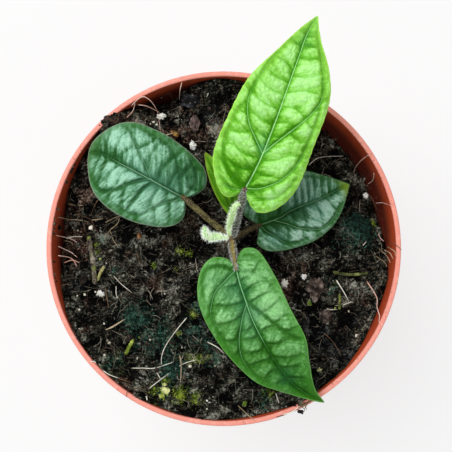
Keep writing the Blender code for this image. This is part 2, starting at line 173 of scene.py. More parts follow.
class Finish:
    """A procedural material on a Principled shader."""

    def __init__(self, name, **constants):
        self.material = bpy.data.materials.new(name)
        self.material.use_nodes = True
        self.tree = self.material.node_tree
        self.shader = self.tree.nodes["Principled BSDF"]
        self.place = self.add("ShaderNodeTexCoord", {}, {}, "Object")
        for socket, value in constants.items():
            self.shader.inputs[socket.replace("_", " ")].default_value = value

    def add(self, kind, settings, values, output=0):
        """Adds a node: its settings first, a ramp's stops among them, then its sockets' values or links."""
        node = self.tree.nodes.new(kind)
        for name, value in settings.items():
            if name == "stops":
                self.set_stops(node.color_ramp.elements, value)
            else:
                setattr(node, name, value)
        for name, value in values.items():
            self.feed(node.inputs[name], value)
        return Wire(self, node.outputs[output])

    def feed(self, socket, value):
        """Gives a socket a link or a value. A colour is a screen colour's code, or linear values."""
        if isinstance(value, Wire):
            self.tree.links.new(value.socket, socket)
        elif socket.type == "RGBA":
            colour = paint(value) if isinstance(value, str) else value
            socket.default_value = (*colour, 1)
        else:
            socket.default_value = value

    def set_stops(self, elements, stops):
        while len(elements) < len(stops):
            elements.new(1)
        for element, (position, colour) in zip(elements, stops):
            element.position = position
            element.color = (*paint(colour), 1)

    def attribute(self, name):
        return self.add("ShaderNodeAttribute", {"attribute_name": name}, {}, "Fac")

    def noise(self, scale, detail=3, roughness=0.55, place=None):
        values = {"Vector": place or self.place, "Scale": scale, "Detail": detail, "Roughness": roughness}
        return self.add("ShaderNodeTexNoise", {}, values)

    def cells(self, scale, feature="F1", place=None):
        values = {"Vector": place or self.place, "Scale": scale}
        return self.add("ShaderNodeTexVoronoi", {"feature": feature}, values, "Distance")

    def stretched(self, scale, turn=0):
        values = {"Vector": self.place, "Scale": scale, "Rotation": (0, 0, turn)}
        return self.add("ShaderNodeMapping", {}, values)

    def warped(self, scale, reach):
        """The object's place, shifted by noise over that many metres."""
        values = {"Vector": self.place, "Scale": scale, "Detail": 2}
        shift = self.add("ShaderNodeTexNoise", {}, values, "Color")
        settings = {"operation": "MULTIPLY_ADD"}
        return self.add("ShaderNodeVectorMath", settings, {0: shift, 1: (reach, reach, reach), 2: self.place})

    def ramp(self, factor, low, high):
        """0 below low, 1 above high and smooth between them."""
        values = {"Value": factor, "From Min": low, "From Max": high}
        return self.add("ShaderNodeMapRange", {"interpolation_type": "SMOOTHSTEP"}, values)

    def height(self):
        return self.add("ShaderNodeSeparateXYZ", {}, {0: self.place}, "Z")

    def mix(self, factor, first, second):
        """Two colours mixed. The node's inputs 6 and 7, and its output 2, are those for colours."""
        return self.add("ShaderNodeMix", {"data_type": "RGBA"}, {0: factor, 6: first, 7: second}, 2)

    def blend_stops(self, factor, stops):
        return self.add("ShaderNodeValToRGB", {"stops": stops}, {0: factor})

    def finish(self, colour, roughness, bump, distance):
        """Joins the colour, the roughness and a bump of that height, which is in metres, to the shader."""
        self.feed(self.shader.inputs["Base Color"], colour)
        self.feed(self.shader.inputs["Roughness"], roughness)
        values = {"Height": bump, "Distance": distance, "Strength": 1}
        self.feed(self.shader.inputs["Normal"], self.add("ShaderNodeBump", {}, values))
        return self.material


# ---- meshes ----


def object_of(name, bm):
    """Puts a finished bmesh into the scene as an object."""
    mesh = bpy.data.meshes.new(name)
    bm.to_mesh(mesh)
    bm.free()
    obj = bpy.data.objects.new(name, mesh)
    bpy.context.scene.collection.objects.link(obj)
    return obj


def piece(name, bm, materials, stands_for=(), smooth=True):
    """Makes a piece from a bmesh, rides it on the plant's body and hides the solids it stands for."""
    obj = object_of(name, bm)
    for material in materials:
        obj.data.materials.append(material)
    if smooth:
        obj.data.shade_smooth()
    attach(obj, BODY)
    if stands_for:
        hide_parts(*stands_for)
    return obj


def smooth_through(points, count):
    """count points, evenly spaced along a smooth curve through the given ones."""
    given = np.array(points, float)
    ends = np.vstack([2 * given[0] - given[1], given, 2 * given[-1] - given[-2]])
    before, start, end, after = ends[:-3, None], ends[1:-2, None], ends[2:-1, None], ends[3:, None]
    t = np.linspace(0, 1, 16, endpoint=False)[None, :, None]
    curved = 2 * start + (end - before) * t + (2 * before - 5 * start + 4 * end - after) * t**2
    curved = (curved + (3 * start - before - 3 * end + after) * t**3) / 2
    fine = np.vstack([curved.reshape(-1, given.shape[1]), given[-1:]])
    steps = np.linalg.norm(np.diff(fine, axis=0), axis=1)
    run = np.concatenate([[0], np.cumsum(steps)])
    wanted = np.linspace(0, run[-1], count)
    return np.stack([np.interp(wanted, run, column) for column in fine.T], axis=1)


def grid(rows, columns):
    """A flat grid, and each vertex's place along and across it, both from 0 to 1."""
    bm = bmesh.new()
    bmesh.ops.create_grid(bm, x_segments=rows, y_segments=columns, size=1)
    places = np.array([vertex.co[:2] for vertex in bm.verts]) / 2 + 0.5
    return bm, places[:, 0], places[:, 1]


def move_all(bm, places):
    for vertex, place in zip(bm.verts, places.tolist()):
        vertex.co = place


def set_layer(bm, name, values):
    layer = bm.verts.layers.float.new(name)
    for vertex, value in zip(bm.verts, values.tolist()):
        vertex[layer] = value


def unit(vectors):
    return vectors / np.linalg.norm(vectors, axis=-1, keepdims=True)


def tube_frame(route):
    """The sideways and the upward direction at each point of a route."""
    ahead = unit(np.gradient(route, axis=0))
    side = np.cross(ahead, (0, 0, 1))
    weak = np.linalg.norm(side, axis=1) < 0.2
    side[weak] = np.cross(ahead[weak], (0, 1, 0))
    side = unit(side)
    return side, np.cross(side, ahead)


def multiply(bm, count):
    """Turns what is in the bmesh into that many copies of it, one after the other."""
    mesh = bpy.data.meshes.new("one")  # so that what is in the bmesh has no gaps in its order
    bm.to_mesh(mesh)
    bm.clear()
    bm.from_mesh(mesh)
    bpy.data.meshes.remove(mesh)
    size = len(bm.verts)
    have = 1
    while have < count:
        bm.verts.index_update()
        limit = size * min(have, count - have)
        faces = [face for face in bm.faces if face.verts[0].index < limit]
        bmesh.ops.duplicate(bm, geom=list(bm.verts)[:limit] + faces)
        have += limit // size


def around(route, radii, ring, angle, section=None, share=None):
    """Places on a tube about a route: at those rings, and turned that far round it."""
    side, up = tube_frame(route)
    radius = radii[ring]
    if section:
        radius = radius * section(share, angle)
    turned = side[ring] * np.cos(angle)[:, None] + up[ring] * np.sin(angle)[:, None]
    return route[ring] + turned * radius[:, None]


def rolled_tubes(routes, radii, sides, section=None):
    """Closed tubes with the same number of rings: grids rolled about their routes."""
    rings = len(routes[0])
    bm, along, across = grid(rings - 1, sides)
    multiply(bm, len(routes))
    ring = np.rint(along * (rings - 1)).astype(int)
    angle = across * math.tau
    pairs = zip(routes, radii)
    move_all(bm, np.vstack([around(route, radius, ring, angle, section, along) for route, radius in pairs]))
    bmesh.ops.remove_doubles(bm, verts=bm.verts, dist=0.002 * MM)
    ends = [edge for edge in bm.edges if edge.is_boundary]
    if ends:
        bmesh.ops.holes_fill(bm, edges=ends, sides=0)
    bmesh.ops.recalc_face_normals(bm, faces=bm.faces)
    return bm


def tube_points(stations, count):
    """Route and radii in metres, from (x, y, z, radius) in millimetres, with rounded ends."""
    smooth = smooth_through(stations, count) * MM
    route, radii = smooth[:, :3], smooth[:, 3]
    run = np.linspace(0, np.linalg.norm(np.diff(route, axis=0), axis=1).sum(), count)
    to_end = np.minimum(run, run[-1] - run)
    rounding = np.clip(to_end / np.maximum(radii, 1e-6), 0, 1)
    return route, radii * np.sqrt(1 - (1 - rounding) ** 2)


def spikes(spots, directions, lengths, thickness):
    """Thin three-sided spikes that stand on the given spots."""
    spots, directions, lengths = np.array(spots), np.array(directions), np.array(lengths)
    bm = bmesh.new()
    bmesh.ops.create_cone(bm, cap_ends=True, segments=3, radius1=1, radius2=0, depth=1)
    local = np.array([vertex.co for vertex in bm.verts])
    multiply(bm, len(spots))
    side = unit(np.cross(directions, (0.31, 0.95, 0.02)))
    front = np.cross(directions, side)
    wide = (side[:, None] * local[None, :, :1] + front[:, None] * local[None, :, 1:2]) * thickness
    tall = directions[:, None] * ((local[None, :, 2:] + 0.5) * lengths[:, None, None])
    move_all(bm, (spots[:, None] + wide + tall).reshape(-1, 3))
    return bm


# ---- the soil's level ----

# The surface's depth below the rim, in millimetres: in the middle, and along the wall at equal steps
# anticlockwise from +X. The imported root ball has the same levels.
SOIL_DEPTH_CENTRE = 9
SOIL_DEPTH_AT_WALL = (13, 17, 18, 8, 4, 2.5, 4.5, 8, 6, 4.5, 4, 4, 6, 9)
SOIL_SLOPE_START = 0.5
WALL_TOP_RADIUS = RIM_RADIUS - 2.5 * MM


def soil_level(x, y):
    """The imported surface's height at (x, y), which may be arrays."""
    turn = np.arctan2(y, x) / math.tau % 1 * len(SOIL_DEPTH_AT_WALL)
    step = np.floor(turn).astype(int)
    share = turn - step
    share = share * share * (3 - 2 * share)
    depths = np.array(SOIL_DEPTH_AT_WALL, float)
    wall_depth = depths[step % len(depths)] * (1 - share) + depths[(step + 1) % len(depths)] * share
    reach = np.hypot(x, y) / WALL_TOP_RADIUS
    lean = np.clip((reach - SOIL_SLOPE_START) / (1 - SOIL_SLOPE_START), 0, 1)
    depth = SOIL_DEPTH_CENTRE + (wall_depth - SOIL_DEPTH_CENTRE) * lean**2
    bumps = 1.1 * np.sin(x / (6 * MM) + 1) * np.cos(y / (7 * MM)) * (1 - lean)
    return RIM_HEIGHT + (bumps - depth) * MM


def ground_tree():
    """The dressed soil's surface, to lay things on."""
    return BVHTree.FromObject(bpy.data.objects["soil_surface"], bpy.context.evaluated_depsgraph_get())


def ground_height(tree, x, y):
    hit = tree.ray_cast(Vector((x, y, RIM_HEIGHT + 0.02)), Vector((0, 0, -1)))[0]
    return hit.z if hit else float(soil_level(x, y))


# ---- pot ----

WALL = 1.4 * MM
LIP_HEIGHT = 3 * MM
FOOT_RADIUS = 42.8 * MM
FOOT_WIDTH = 4 * MM
FOOT_HEIGHT = 3 * MM
CENTRE_PAD_RADIUS = 14 * MM
LEDGE_DROP = 2 * MM
COLLAR_DRAFT = 0.8 * MM
DRAIN_HOLES = 8
DRAIN_HOLE_RADIUS = 4 * MM
DRAIN_CIRCLE_RADIUS = 27 * MM
POT_STEPS = 160
DRAIN_HOLE_SIDES = 32
EDGE_ROUNDING = 0.45 * MM
ROUNDED_ABOVE, SHARP_ABOVE = 25, 50  # edges that are rounded, and that stay sharp, in degrees


def inner_radius(z, settings):
    """The pot's inner radius at that height, which may be an array."""
    ledge_top = RIM_HEIGHT - settings.collar_height
    lip_inner = RIM_RADIUS - settings.lip_width
    collar_inner = lip_inner - COLLAR_DRAFT
    heights = [FOOT_HEIGHT, ledge_top - LEDGE_DROP, ledge_top, RIM_HEIGHT]
    return np.interp(z, heights, [FOOT_RADIUS - WALL, collar_inner - WALL * 0.9, collar_inner, lip_inner])


def pot_profile(settings):
    """(radius, height) points, from the axis under the pot, up the outside and down the inside."""
    collar_bottom = RIM_HEIGHT - settings.collar_height - LEDGE_DROP / 2
    collar_outer = RIM_RADIUS - 1 * MM
    foot_inner = FOOT_RADIUS - FOOT_WIDTH
    floor = FOOT_HEIGHT + WALL
    ledge_top = RIM_HEIGHT - settings.collar_height

    def inside(z):
        return float(inner_radius(z, settings)), z

    return [
        (0, 0), (CENTRE_PAD_RADIUS, 0), (CENTRE_PAD_RADIUS + 2 * MM, FOOT_HEIGHT),
        (foot_inner - 1 * MM, FOOT_HEIGHT), (foot_inner, 0),
        (FOOT_RADIUS - 0.6 * MM, 0), (FOOT_RADIUS, 0.6 * MM),
        (inside(collar_bottom - 1 * MM)[0] + WALL, collar_bottom), (collar_outer - 0.5 * MM, collar_bottom),
        (collar_outer, RIM_HEIGHT - LIP_HEIGHT), (RIM_RADIUS, RIM_HEIGHT - LIP_HEIGHT),
        (RIM_RADIUS, RIM_HEIGHT), (RIM_RADIUS - settings.lip_width, RIM_HEIGHT),
        inside(ledge_top), inside(ledge_top - LEDGE_DROP), inside(floor + 2 * MM),
        (inside(floor)[0] - 2 * MM, floor), (CENTRE_PAD_RADIUS + 1 * MM, floor),
        (CENTRE_PAD_RADIUS - 1 * MM, WALL), (0, WALL),
    ]


def pot_plastic(settings):
    """Matt plastic: its rim's top painted paler as if lit, with painted pink highlights; inside, painted
    shade that deepens downward and in patches, dust and specks of soil.
    """
    kit = Finish("pot_plastic", Specular_IOR_Level=0.35)
    height = kit.height()
    blotches = kit.noise(60, 4)
    cloudy = kit.noise(260, 4, 0.7)
    # Painted light: the rim's top turns paler, as if lit from above.
    lit_top = kit.ramp(height + blotches * 0.0012, RIM_HEIGHT - 0.0004, RIM_HEIGHT + 0.0005)
    inner = kit.attribute("inner")
    # Painted shade: the inner wall darkens further down, and in patches there.
    depth = kit.ramp(height + (cloudy - 0.5) * 0.008, RIM_HEIGHT - 0.001, RIM_HEIGHT - 0.016)
    shaded = kit.mix(depth, tuple(settings.inside), "4C1408")
    shaded = kit.mix(kit.ramp(cloudy, 0.5, 0.62) * depth * 0.5, shaded, "3A100A")
    dust = kit.ramp(kit.noise(1100, 3, 0.6), 0.62, 0.7)
    shaded = kit.mix(dust * 0.4, shaded, "B08474")
    colour = kit.mix(blotches * 0.5, tuple(settings.plastic), "CC6E52")
    colour = kit.mix(inner, colour, shaded)
    colour = kit.mix(lit_top * 0.85, colour, tuple(settings.lit_rim))
    # worn marks painted pink highlights on the rim's top.
    worn = kit.ramp(kit.noise(420, 3, 0.6), 0.5, 0.7)
    colour = kit.mix(lit_top * worn * 0.35, colour, "FFC2B4")
    specks = kit.ramp(kit.noise(1300, 2, 0.5), 0.66, 0.72) * kit.ramp(kit.noise(90, 2), 0.42, 0.6)
    colour = kit.mix(specks * 0.75, colour, "4A2A20")
    grain = kit.noise(1500, 2)
    scratches = kit.noise(1, 2, 0.6, kit.stretched((400, 400, 9000)))
    roughness = 0.42 + blotches * 0.2 + specks * 0.3
    return kit.finish(colour, roughness, grain * 0.5 + scratches * 0.5, 0.06 * MM)


def make_pot(settings):
    """Spins the profile, rounds its edges and cuts the drainage holes."""
    bm = bmesh.new()
    verts = [bm.verts.new((radius, 0, z)) for radius, z in pot_profile(settings)]
    edges = [bm.edges.new(pair) for pair in zip(verts, verts[1:])]
    bmesh.ops.spin(
        bm, geom=verts + edges, axis=(0, 0, 1), cent=(0, 0, 0), angle=math.tau, steps=POT_STEPS,
        use_merge=True,
    )
    bmesh.ops.remove_doubles(bm, verts=bm.verts, dist=0.001 * MM)
    bmesh.ops.recalc_face_normals(bm, faces=bm.faces)
    sharp = [edge for edge in bm.edges if edge.calc_face_angle(0) > math.radians(ROUNDED_ABOVE)]
    bmesh.ops.bevel(
        bm, geom=sharp, offset=EDGE_ROUNDING, affect="EDGES", segments=3, profile=0.5, material=-1,
        clamp_overlap=True,
    )
    heights = np.array([vertex.co.z for vertex in bm.verts])
    radii = np.array([vertex.co.to_2d().length for vertex in bm.verts])
    edge = inner_radius(heights, settings) + 0.3 * MM
    set_layer(bm, "inner", ((radii < edge) & (heights > FOOT_HEIGHT)).astype(float))
    pot = piece("pot_shell", bm, [pot_plastic(settings)], ["pot"])
    cutter_bm = bmesh.new()
    for number in range(DRAIN_HOLES):
        turn = Matrix.Rotation(math.tau * (number + 0.5) / DRAIN_HOLES, 4, "Z")
        bmesh.ops.create_cone(
            cutter_bm, cap_ends=True, segments=DRAIN_HOLE_SIDES, radius1=DRAIN_HOLE_RADIUS,
            radius2=DRAIN_HOLE_RADIUS, depth=6 * WALL,
            matrix=turn @ Matrix.Translation((DRAIN_CIRCLE_RADIUS, 0, FOOT_HEIGHT)),
        )
    cutter = object_of("drain_holes", cutter_bm)
    cut = pot.modifiers.new("drain_holes", "BOOLEAN")
    cut.object = cutter
    cut.solver = "EXACT"
    graph = bpy.context.evaluated_depsgraph_get()
    cut_mesh = bpy.data.meshes.new_from_object(pot.evaluated_get(graph))
    pot.modifiers.clear()
    pot.data = cut_mesh
    cut_mesh.shade_smooth()
    cut_mesh.set_sharp_from_angle(angle=math.radians(SHARP_ABOVE))
    bpy.data.objects.remove(cutter)


# ---- leaves ----


def in_shares(places):
    """The first three values of each place, from percent to shares."""
    return [tuple(value / 100 for value in place[:3]) for place in places]


@dataclass
class Blade:
    """One leaf's blade. Its points are (along, out) in percent of its length, out to the line's left."""

    name: str
    slot: str
    base: tuple  # millimetres
    tip: tuple
    left: list  # the outline, from the notch at the stalk round the lobe to the tip
    right: list
    arch: float  # how high the midrib rises, in millimetres
    fold: float  # how far the blade rises beside the midrib
    droop: float  # how far the margins hang
    colours: dict
    quilting: float
    pearls: float  # how strongly the margin is beaded near the stalk
    netting: float  # how strongly the small cells between the rungs show
    pale: list  # for each vein: how strong its pale line is, where that ends, and its valley's depth
    veins: list  # the midrib first, then the side veins
    rungs: list  # the cross-veins
    tones: list  # soft spots of painted highlight and painted shade over the leaf's own paler and deeper greens: along, out, radius and tone, 1 silvery and -1 deep
    glazes: list  # bluish spots: along, out, radius and strength

    def __post_init__(self):
        """From percent to shares of the length."""
        self.left, self.right = in_shares(self.left), in_shares(self.right)
        self.veins = [in_shares(route) for route in self.veins]
        self.rungs = [in_shares(route) for route in self.rungs]
        self.tones = [(*place, tone) for place, (*_, tone) in zip(in_shares(self.tones), self.tones)]
        self.glazes = [(*place, depth) for place, (*_, depth) in zip(in_shares(self.glazes), self.glazes)]


SILVER_GREEN = {
    "furrow": "1C4E1C", "deep": "326A38", "mid": "5A8F68", "bright": "84BA99",
    "sheen": "AADEC0", "vein": "86B090", "margin": "8E9E86", "tip": "376A2E",
    "glaze": "568E7C", "under": "7C9C78", "band": "3C7A34",
}
YOUNG_GREEN = {
    "furrow": "3A8600", "deep": "56A216", "mid": "84D246", "bright": "A8F078",
    "sheen": "BEFF9E", "vein": "B4F0A4", "margin": "B0EC58", "tip": "86CC56",
    "glaze": "70C48C", "under": "A9CF86", "band": "98DC50",
}
MID_GREEN = {
    "furrow": "184E06", "deep": "2A6814", "mid": "488636", "bright": "6CAC62",
    "sheen": "98D68E", "vein": "8CCB92", "margin": "6AAA4E", "tip": "2A600A",
    "glaze": "34745A", "under": "8DB474", "band": "3E8A1E",
}
GREY_GREEN = {
    "furrow": "16440A", "deep": "265A26", "mid": "457552", "bright": "7CAC8E",
    "sheen": "B0D4C0", "vein": "86B486", "margin": "54804A", "tip": "94B430",
    "glaze": "5E8E88", "under": "7C9C78", "band": "2E6420",
}
OLIVE_GREEN = {
    "furrow": "3A6E06", "deep": "4A860C", "mid": "589414", "bright": "6CA822",
    "sheen": "86BC3C", "vein": "7AB040", "margin": "7E8E2E", "tip": "6E9A2A",
    "glaze": "589414", "under": "8DB474", "band": "5A9414",
}

BLADES = [
    Blade(
        "leaf_left", "leaf_dark", (-13.1, 17, 101), (-45.7, 32.3, 96),
        [(-5, 8), (-7, 17), (-2, 27), (12, 35), (37, 40), (62, 37.5), (80, 29), (93, 13)],
        [(-8, -7), (-13, -18), (-8, -30), (6, -38), (32, -44.5), (60, -45.5), (79, -41),
         (92, -28), (100, -12)],
        6, 2.5, 6, SILVER_GREEN, 0.95, 0.1, 0.35,
        pale=[
            (0.8, 0.75, 1), (0.35, 0.8, 0.7), (0.25, 0.3, 1), (0, 0, 1), (0.45, 0.55, 0.6), (0.1, 0.3, 0.5),
            (0.35, 0.6, 0.5),
        ],
        veins=[
            [(0, 0), (19, -1), (33, -2), (52, -3), (72, -4), (86, -5), (100, 0)],
            [(33, -2), (43, -11), (56, -22), (68, -32), (77, -37)],
            [(35, -2), (44, 4), (52, 12), (60, 20), (67, 25), (75, 26), (85, 20)],
            [(31, -1), (35, 6), (38, 15), (40, 23), (42, 30)],
            [(1, 2), (8, 7), (16, 14), (22, 22), (28, 30), (37, 34), (52, 33)],
            [(2, -1), (8, -11), (15, -22), (27, -34), (40, -39), (59, -41), (72, -40)],
            [(1, -1), (-3, -8), (-4, -18), (0, -27), (7, -33)],
        ],
        rungs=[
            [(91, -5), (95, -18)], [(81, -5), (86, -16), (88, -28)],
            [(72, -4), (75, -14), (76, -25), (74, -31)], [(62, -4), (67, -12), (62, -22)],
            [(52, -3), (56, -12), (53, -19)], [(87, -4), (87, 6), (85, 17)], [(77, -4), (79, 8), (76, 24)],
            [(65, -3), (70, 7), (70, 16), (66, 24)], [(54, -3), (60, 4), (60, 13), (57, 17)],
            [(56, -23), (48, -33), (46, -40)], [(40, -9), (43, -22), (40, -37)],
            [(27, -2), (28, -14), (24, -30)], [(17, -1), (16, -12), (14, -20)],
            [(52, 13), (50, 24), (46, 33)], [(62, 22), (62, 32)], [(24, 0), (25, 10), (24, 22)],
            [(15, 0), (14, 10)], [(50, -40), (49, -45)], [(35, -38), (33, -44)], [(22, -30), (19, -41)],
            [(10, -15), (5, -36)], [(2, -28), (-6, -31)], [(10, 9), (2, 26)], [(20, 20), (13, 34)],
            [(32, 33), (30, 39)], [(45, 34), (46, 39)], [(-2, -10), (-10, -12)],
        ],
        tones=[
            (92, -6, 7, -0.8), (81, -8.5, 6, -0.9), (70, -7.5, 5.5, -0.9), (59, -6, 5, -0.8),
            (48, -5, 4, -0.6), (72, 2, 5, 0.6), (60, 2, 5, 0.7), (50, 2, 5, 0.6), (68, -40, 16, -0.7),
            (50, -42, 10, -0.6), (20, -12, 14, -0.6), (82, 18, 10, -0.6), (55, -10, 8, 0.8),
            (74, -24, 10, 0.7), (64, 10, 10, 0.9), (25, 12, 12, 0.7), (55, -33, 14, 0.6), (16, 30, 10, 0.6),
            (90, 8, 6, 0.5), (2, -22, 12, -0.3), (30, -42, 10, -0.4), (30, 38, 8, -0.4), (60, 35, 7, -0.5),
            (0, 20, 10, -0.2), (-2, -30, 10, -0.7), (12, -24, 9, -0.6), (86, -25, 7, 0.6), (42, 10, 7, -0.4),
        ],
        glazes=[(30, 2, 14, 0.8), (50, -6, 12, 0.6), (12, -10, 14, 0.5)],
    ),
    Blade(
        "leaf_top", "leaf_young", (6.7, 19.3, 115), (28.9, 72.1, 122),
        [(-6, 4), (-7.5, 10), (0, 18), (12, 23.5), (32, 23.5), (54, 21), (75, 12), (89, 6)],
        [(-6, -5), (-9, -12), (-3, -20.5), (11, -26), (36, -25), (58, -23.5), (73, -17),
         (88, -6)],
        6, 3, 3, YOUNG_GREEN, 1.0, 1.0, 0.6,
        pale=[
            (0.9, 1, 1), (0.65, 0.5, 1), (0.7, 0.6, 1), (0, 0, 1), (0.55, 0.6, 1), (0, 0, 0.7),
            (0.3, 0.5, 0.7),
        ],
        veins=[
            [(0, 0), (9, -1), (21, -1.5), (40, -1), (58, 0), (77, 1), (88, 1.5), (100, 0)],
            [(21, -1), (28, 7), (33, 12), (41, 16), (49, 17), (66, 14), (82, 8)],
            [(22, -2), (31, -7), (41, -13), (49, -17), (56, -19), (63, -18), (77, -11),
             (90, -3.5)],
            [(0, 0), (4, 10), (11, 17), (20, 20.5), (27, 20.5), (36, 20), (43, 17)],
            [(1, -1), (3, -7), (9, -14), (15, -18), (24, -21), (35, -21.5), (50, -21),
             (54, -19)],
            [(0, -2), (-1.5, -10), (1, -16.5), (7, -21), (15, -23.5)],
            [(-1, 1), (-2, 5), (-2.5, 10), (1, 15), (7, 19)],
        ],
        rungs=[
            [(87, 1), (88, -4)], [(81, 1), (83, -7)], [(74, 0), (77, -10)], [(64, 0), (66, -8), (70, -14)],
            [(55, -1), (59, -10), (60, -18)], [(47, -1), (49, -8), (52, -12)], [(49, -8), (46, -15)],
            [(38, -1), (40, -7), (39, -12)], [(31, -1), (32, -6)], [(88, 1.5), (88, 5.5)], [(80, 1), (82, 9)],
            [(66, 0), (69, 6), (70, 13)], [(60, 0), (60, 8), (62, 15)], [(53, 0), (53, 8), (56, 16)],
            [(45, -1), (45, 9), (48, 17)], [(36, -1), (37, 7), (40, 16)], [(29, -1), (30, 7)],
            [(37, 14), (36, 20)], [(29, 8), (26, 15), (25, 20)], [(18, -1), (17, 8), (19, 15), (18, 20)],
            [(11, 0), (9, 8), (11, 17)], [(17, -1), (20, -9), (25, -15), (26, -21)],
            [(10, -1), (11, -8), (12, -16)], [(36, -10), (34, -16), (35, -21)], [(45, -15), (42, -21)],
            [(20, 21), (21, 24)], [(30, 20), (31, 23.5)], [(10, 16), (9, 21)], [(56, 16.5), (58, 20)],
            [(66, 14), (68, 16)], [(48, 17), (50, 21.5)], [(18, -20), (18, -26)], [(30, -21.5), (30, -26)],
            [(43, -21), (44, -25)], [(58, -19), (60, -23)], [(66, -17), (69, -19)],
            [(3, -6), (0, -10), (-4, -13)], [(7, -12), (3, -17)],
        ],
        tones=[
            (5, 6, 8, -0.7), (5, -6, 6, -0.5), (25, -1, 3, -0.2), (34, 3, 4, 0.2), (86, 2, 6, 0.2),
            (62, -7, 8, 0.8), (52, -6, 8, 0.8), (55, 10, 8, 0.7), (42, 10, 8, 0.6), (22, 14, 8, 0.6),
            (18, -13, 9, 0.6), (42, -19, 6, 0.7), (72, 6, 6, 0.6), (70, -9, 6, 0.6), (2, -16, 7, 0.8),
            (30, 23, 4, 0.7), (44, 21, 4, 0.7), (18, 24, 4, 0.7), (58, 19, 4, 0.7), (20, -26, 4, 0.7),
            (36, -25, 4, 0.7), (52, -24, 4, 0.7), (68, -20, 4, 0.6), (0, 17, 5, 0.7),
        ],
        glazes=[(23.5, -0.5, 3, 1.2), (29, 2, 3, 0.3), (84, 2, 5, 0.3)],
    ),
    Blade(
        "leaf_front", "leaf_green", (4, -6, 105), (33.7, -51.3, 99),
        [(-5, 5), (-7, 11), (-1, 17), (17, 17), (38, 14), (58, 12), (72, 6), (88, 0)],
        [(-7, -1), (-13, -9), (-10, -19), (2, -29), (20, -33.5), (42, -33), (64, -28),
         (80, -16.5), (92, -7)],
        3.5, 2.5, 4, MID_GREEN, 1.15, 0, 0.65,
        pale=[
            (0.8, 0.5, 1), (0.6, 0.5, 0.75), (0.5, 0.75, 0.9), (0.15, 0.3, 1), (0.3, 0.35, 0.4),
            (0, 0, 0.8), (0, 0, 0.4),
        ],
        veins=[
            [(0, 0), (10, -3.5), (20, -6), (30, -8.5), (41, -10), (55, -11), (68, -11),
             (79, -9.5), (90, -5.5), (100, 0)],
            [(1, -1), (3, -10), (5, -18), (10, -24), (15, -28), (23, -30), (38, -31),
             (50, -30)],
            [(22, -7), (26, -12), (30, -16), (37, -22), (45, -26), (52, -27), (60, -26),
             (70, -22)],
            [(21, -6), (28, -3), (37, 0), (46, 3), (51, 5), (57, 9)],
            [(1, 0), (6, 5), (10, 8.5), (18, 11.5), (27, 12), (36, 10.5), (50, 9)],
            [(-1, -3), (-6, -7), (-9, -15), (-4, -22), (3, -26)],
            [(0, 1), (-3, 5), (-2, 11), (5, 14.5)],
        ],
        rungs=[
            [(20, -6), (17, -15), (11, -24)], [(26, -12), (25, -22), (21, -30)],
            [(34, -19), (36, -24), (32, -31)], [(43, -25), (44, -30)], [(34, -9), (35, -14), (33, -18)],
            [(42, -10), (40, -16), (37, -21)], [(50, -10.5), (49, -17), (45, -25)],
            [(58, -11), (55, -19), (53, -27)], [(66, -11), (64, -17), (66, -24)], [(74, -10), (72, -16)],
            [(40, -10), (40, -4), (42, 1)], [(48, -10), (52, -3), (52, 5)], [(57, -11), (62, -4), (65, 4)],
            [(65, -11), (69, -4), (71, 0)], [(73, -10), (77, -5), (79, -2)], [(31, -2), (31, 5), (30, 12)],
            [(22, -5), (22, 3), (23, 12)], [(15, -4), (14, 4), (16, 10)], [(8, -3), (8, 3)],
            [(40, 2), (40, 10)], [(48, 4), (50, 12)], [(10, -3), (6, -12)], [(20, 12), (20, 16)],
            [(8, 7), (5, 13)], [(15, -28), (16, -32)], [(28, -30), (30, -33.5)],
        ],
        tones=[
            (12, -10, 10, 0.5), (27, -8, 5, 0.6), (40, -14, 8, 0.4), (20, -22, 7, 0.4), (33, -4, 5, 0.8),
            (10, 6, 8, 0.6), (30, 7, 8, 0.8), (45, 8, 8, 0.7), (0, -20, 8, 0.4), (56, 0, 6, 0.4),
            (97, -2, 14, -1), (82, -8, 12, -0.6), (16, -2, 5, -0.7), (40, -28, 8, -0.3), (50, 8, 5, -0.4),
            (62, -12, 28, -0.5), (10, -14, 12, -0.5), (24, 7, 12, 0.5),
        ],
        glazes=[(10, -7, 9, 1), (25, -10, 7, 0.9), (36, -13, 7, 0.5), (30, -4, 4, 0.7),
                (72, -12, 8, 0.4), (-3, -17, 7, 0.4)],
    ),
    Blade(
        "leaf_right", "leaf_dark", (12.3, 8, 94), (43.1, 22, 92),
        [(-7, 9), (-10, 18), (0, 33), (17, 39.5), (40, 39.5), (62, 32), (78, 19.5), (90, 9)],
        [(-7, -10), (-10, -17), (-2, -28), (18, -34.5), (42, -37), (64, -32), (80, -21.5),
         (92, -9)],
        2, 2, 3, GREY_GREEN, 0.85, 0, 0.35,
        pale=[(0.55, 0.9, 1), (0.65, 0.95, 1), (0, 0, 0.6), (0.4, 0.6, 1), (0, 0, 0.6)],
        veins=[
            [(0, 0), (12, -1), (23, -1.5), (31, 0), (47, 0), (64, -1), (86, 0), (100, 0)],
            [(15, -2), (25, -10), (32, -17), (41, -23), (52, -28), (60, -27.5), (70, -24),
             (83, -14)],
            [(20, 0), (27, 12), (36, 22), (50, 28), (65, 24), (78, 15)],
            [(1, -2), (3, -8), (9, -16), (13, -23), (18, -28), (26, -31), (38, -31)],
            [(1, 2), (5, 13), (12, 24), (22, 33), (40, 35)],
        ],
        rungs=[
            [(39, 0), (44, 14), (45, 27)], [(46, 0), (51, 14), (53, 28)], [(53, 0), (58, 13), (61, 26)],
            [(60, 0), (65, 12), (67, 23)], [(68, 0), (72, 10), (74, 18)], [(76, 0), (79, 8), (81, 13)],
            [(45, 0), (44, -12), (40, -22)], [(58, 0), (60, -12), (57, -27)], [(70, 0), (74, -10), (74, -22)],
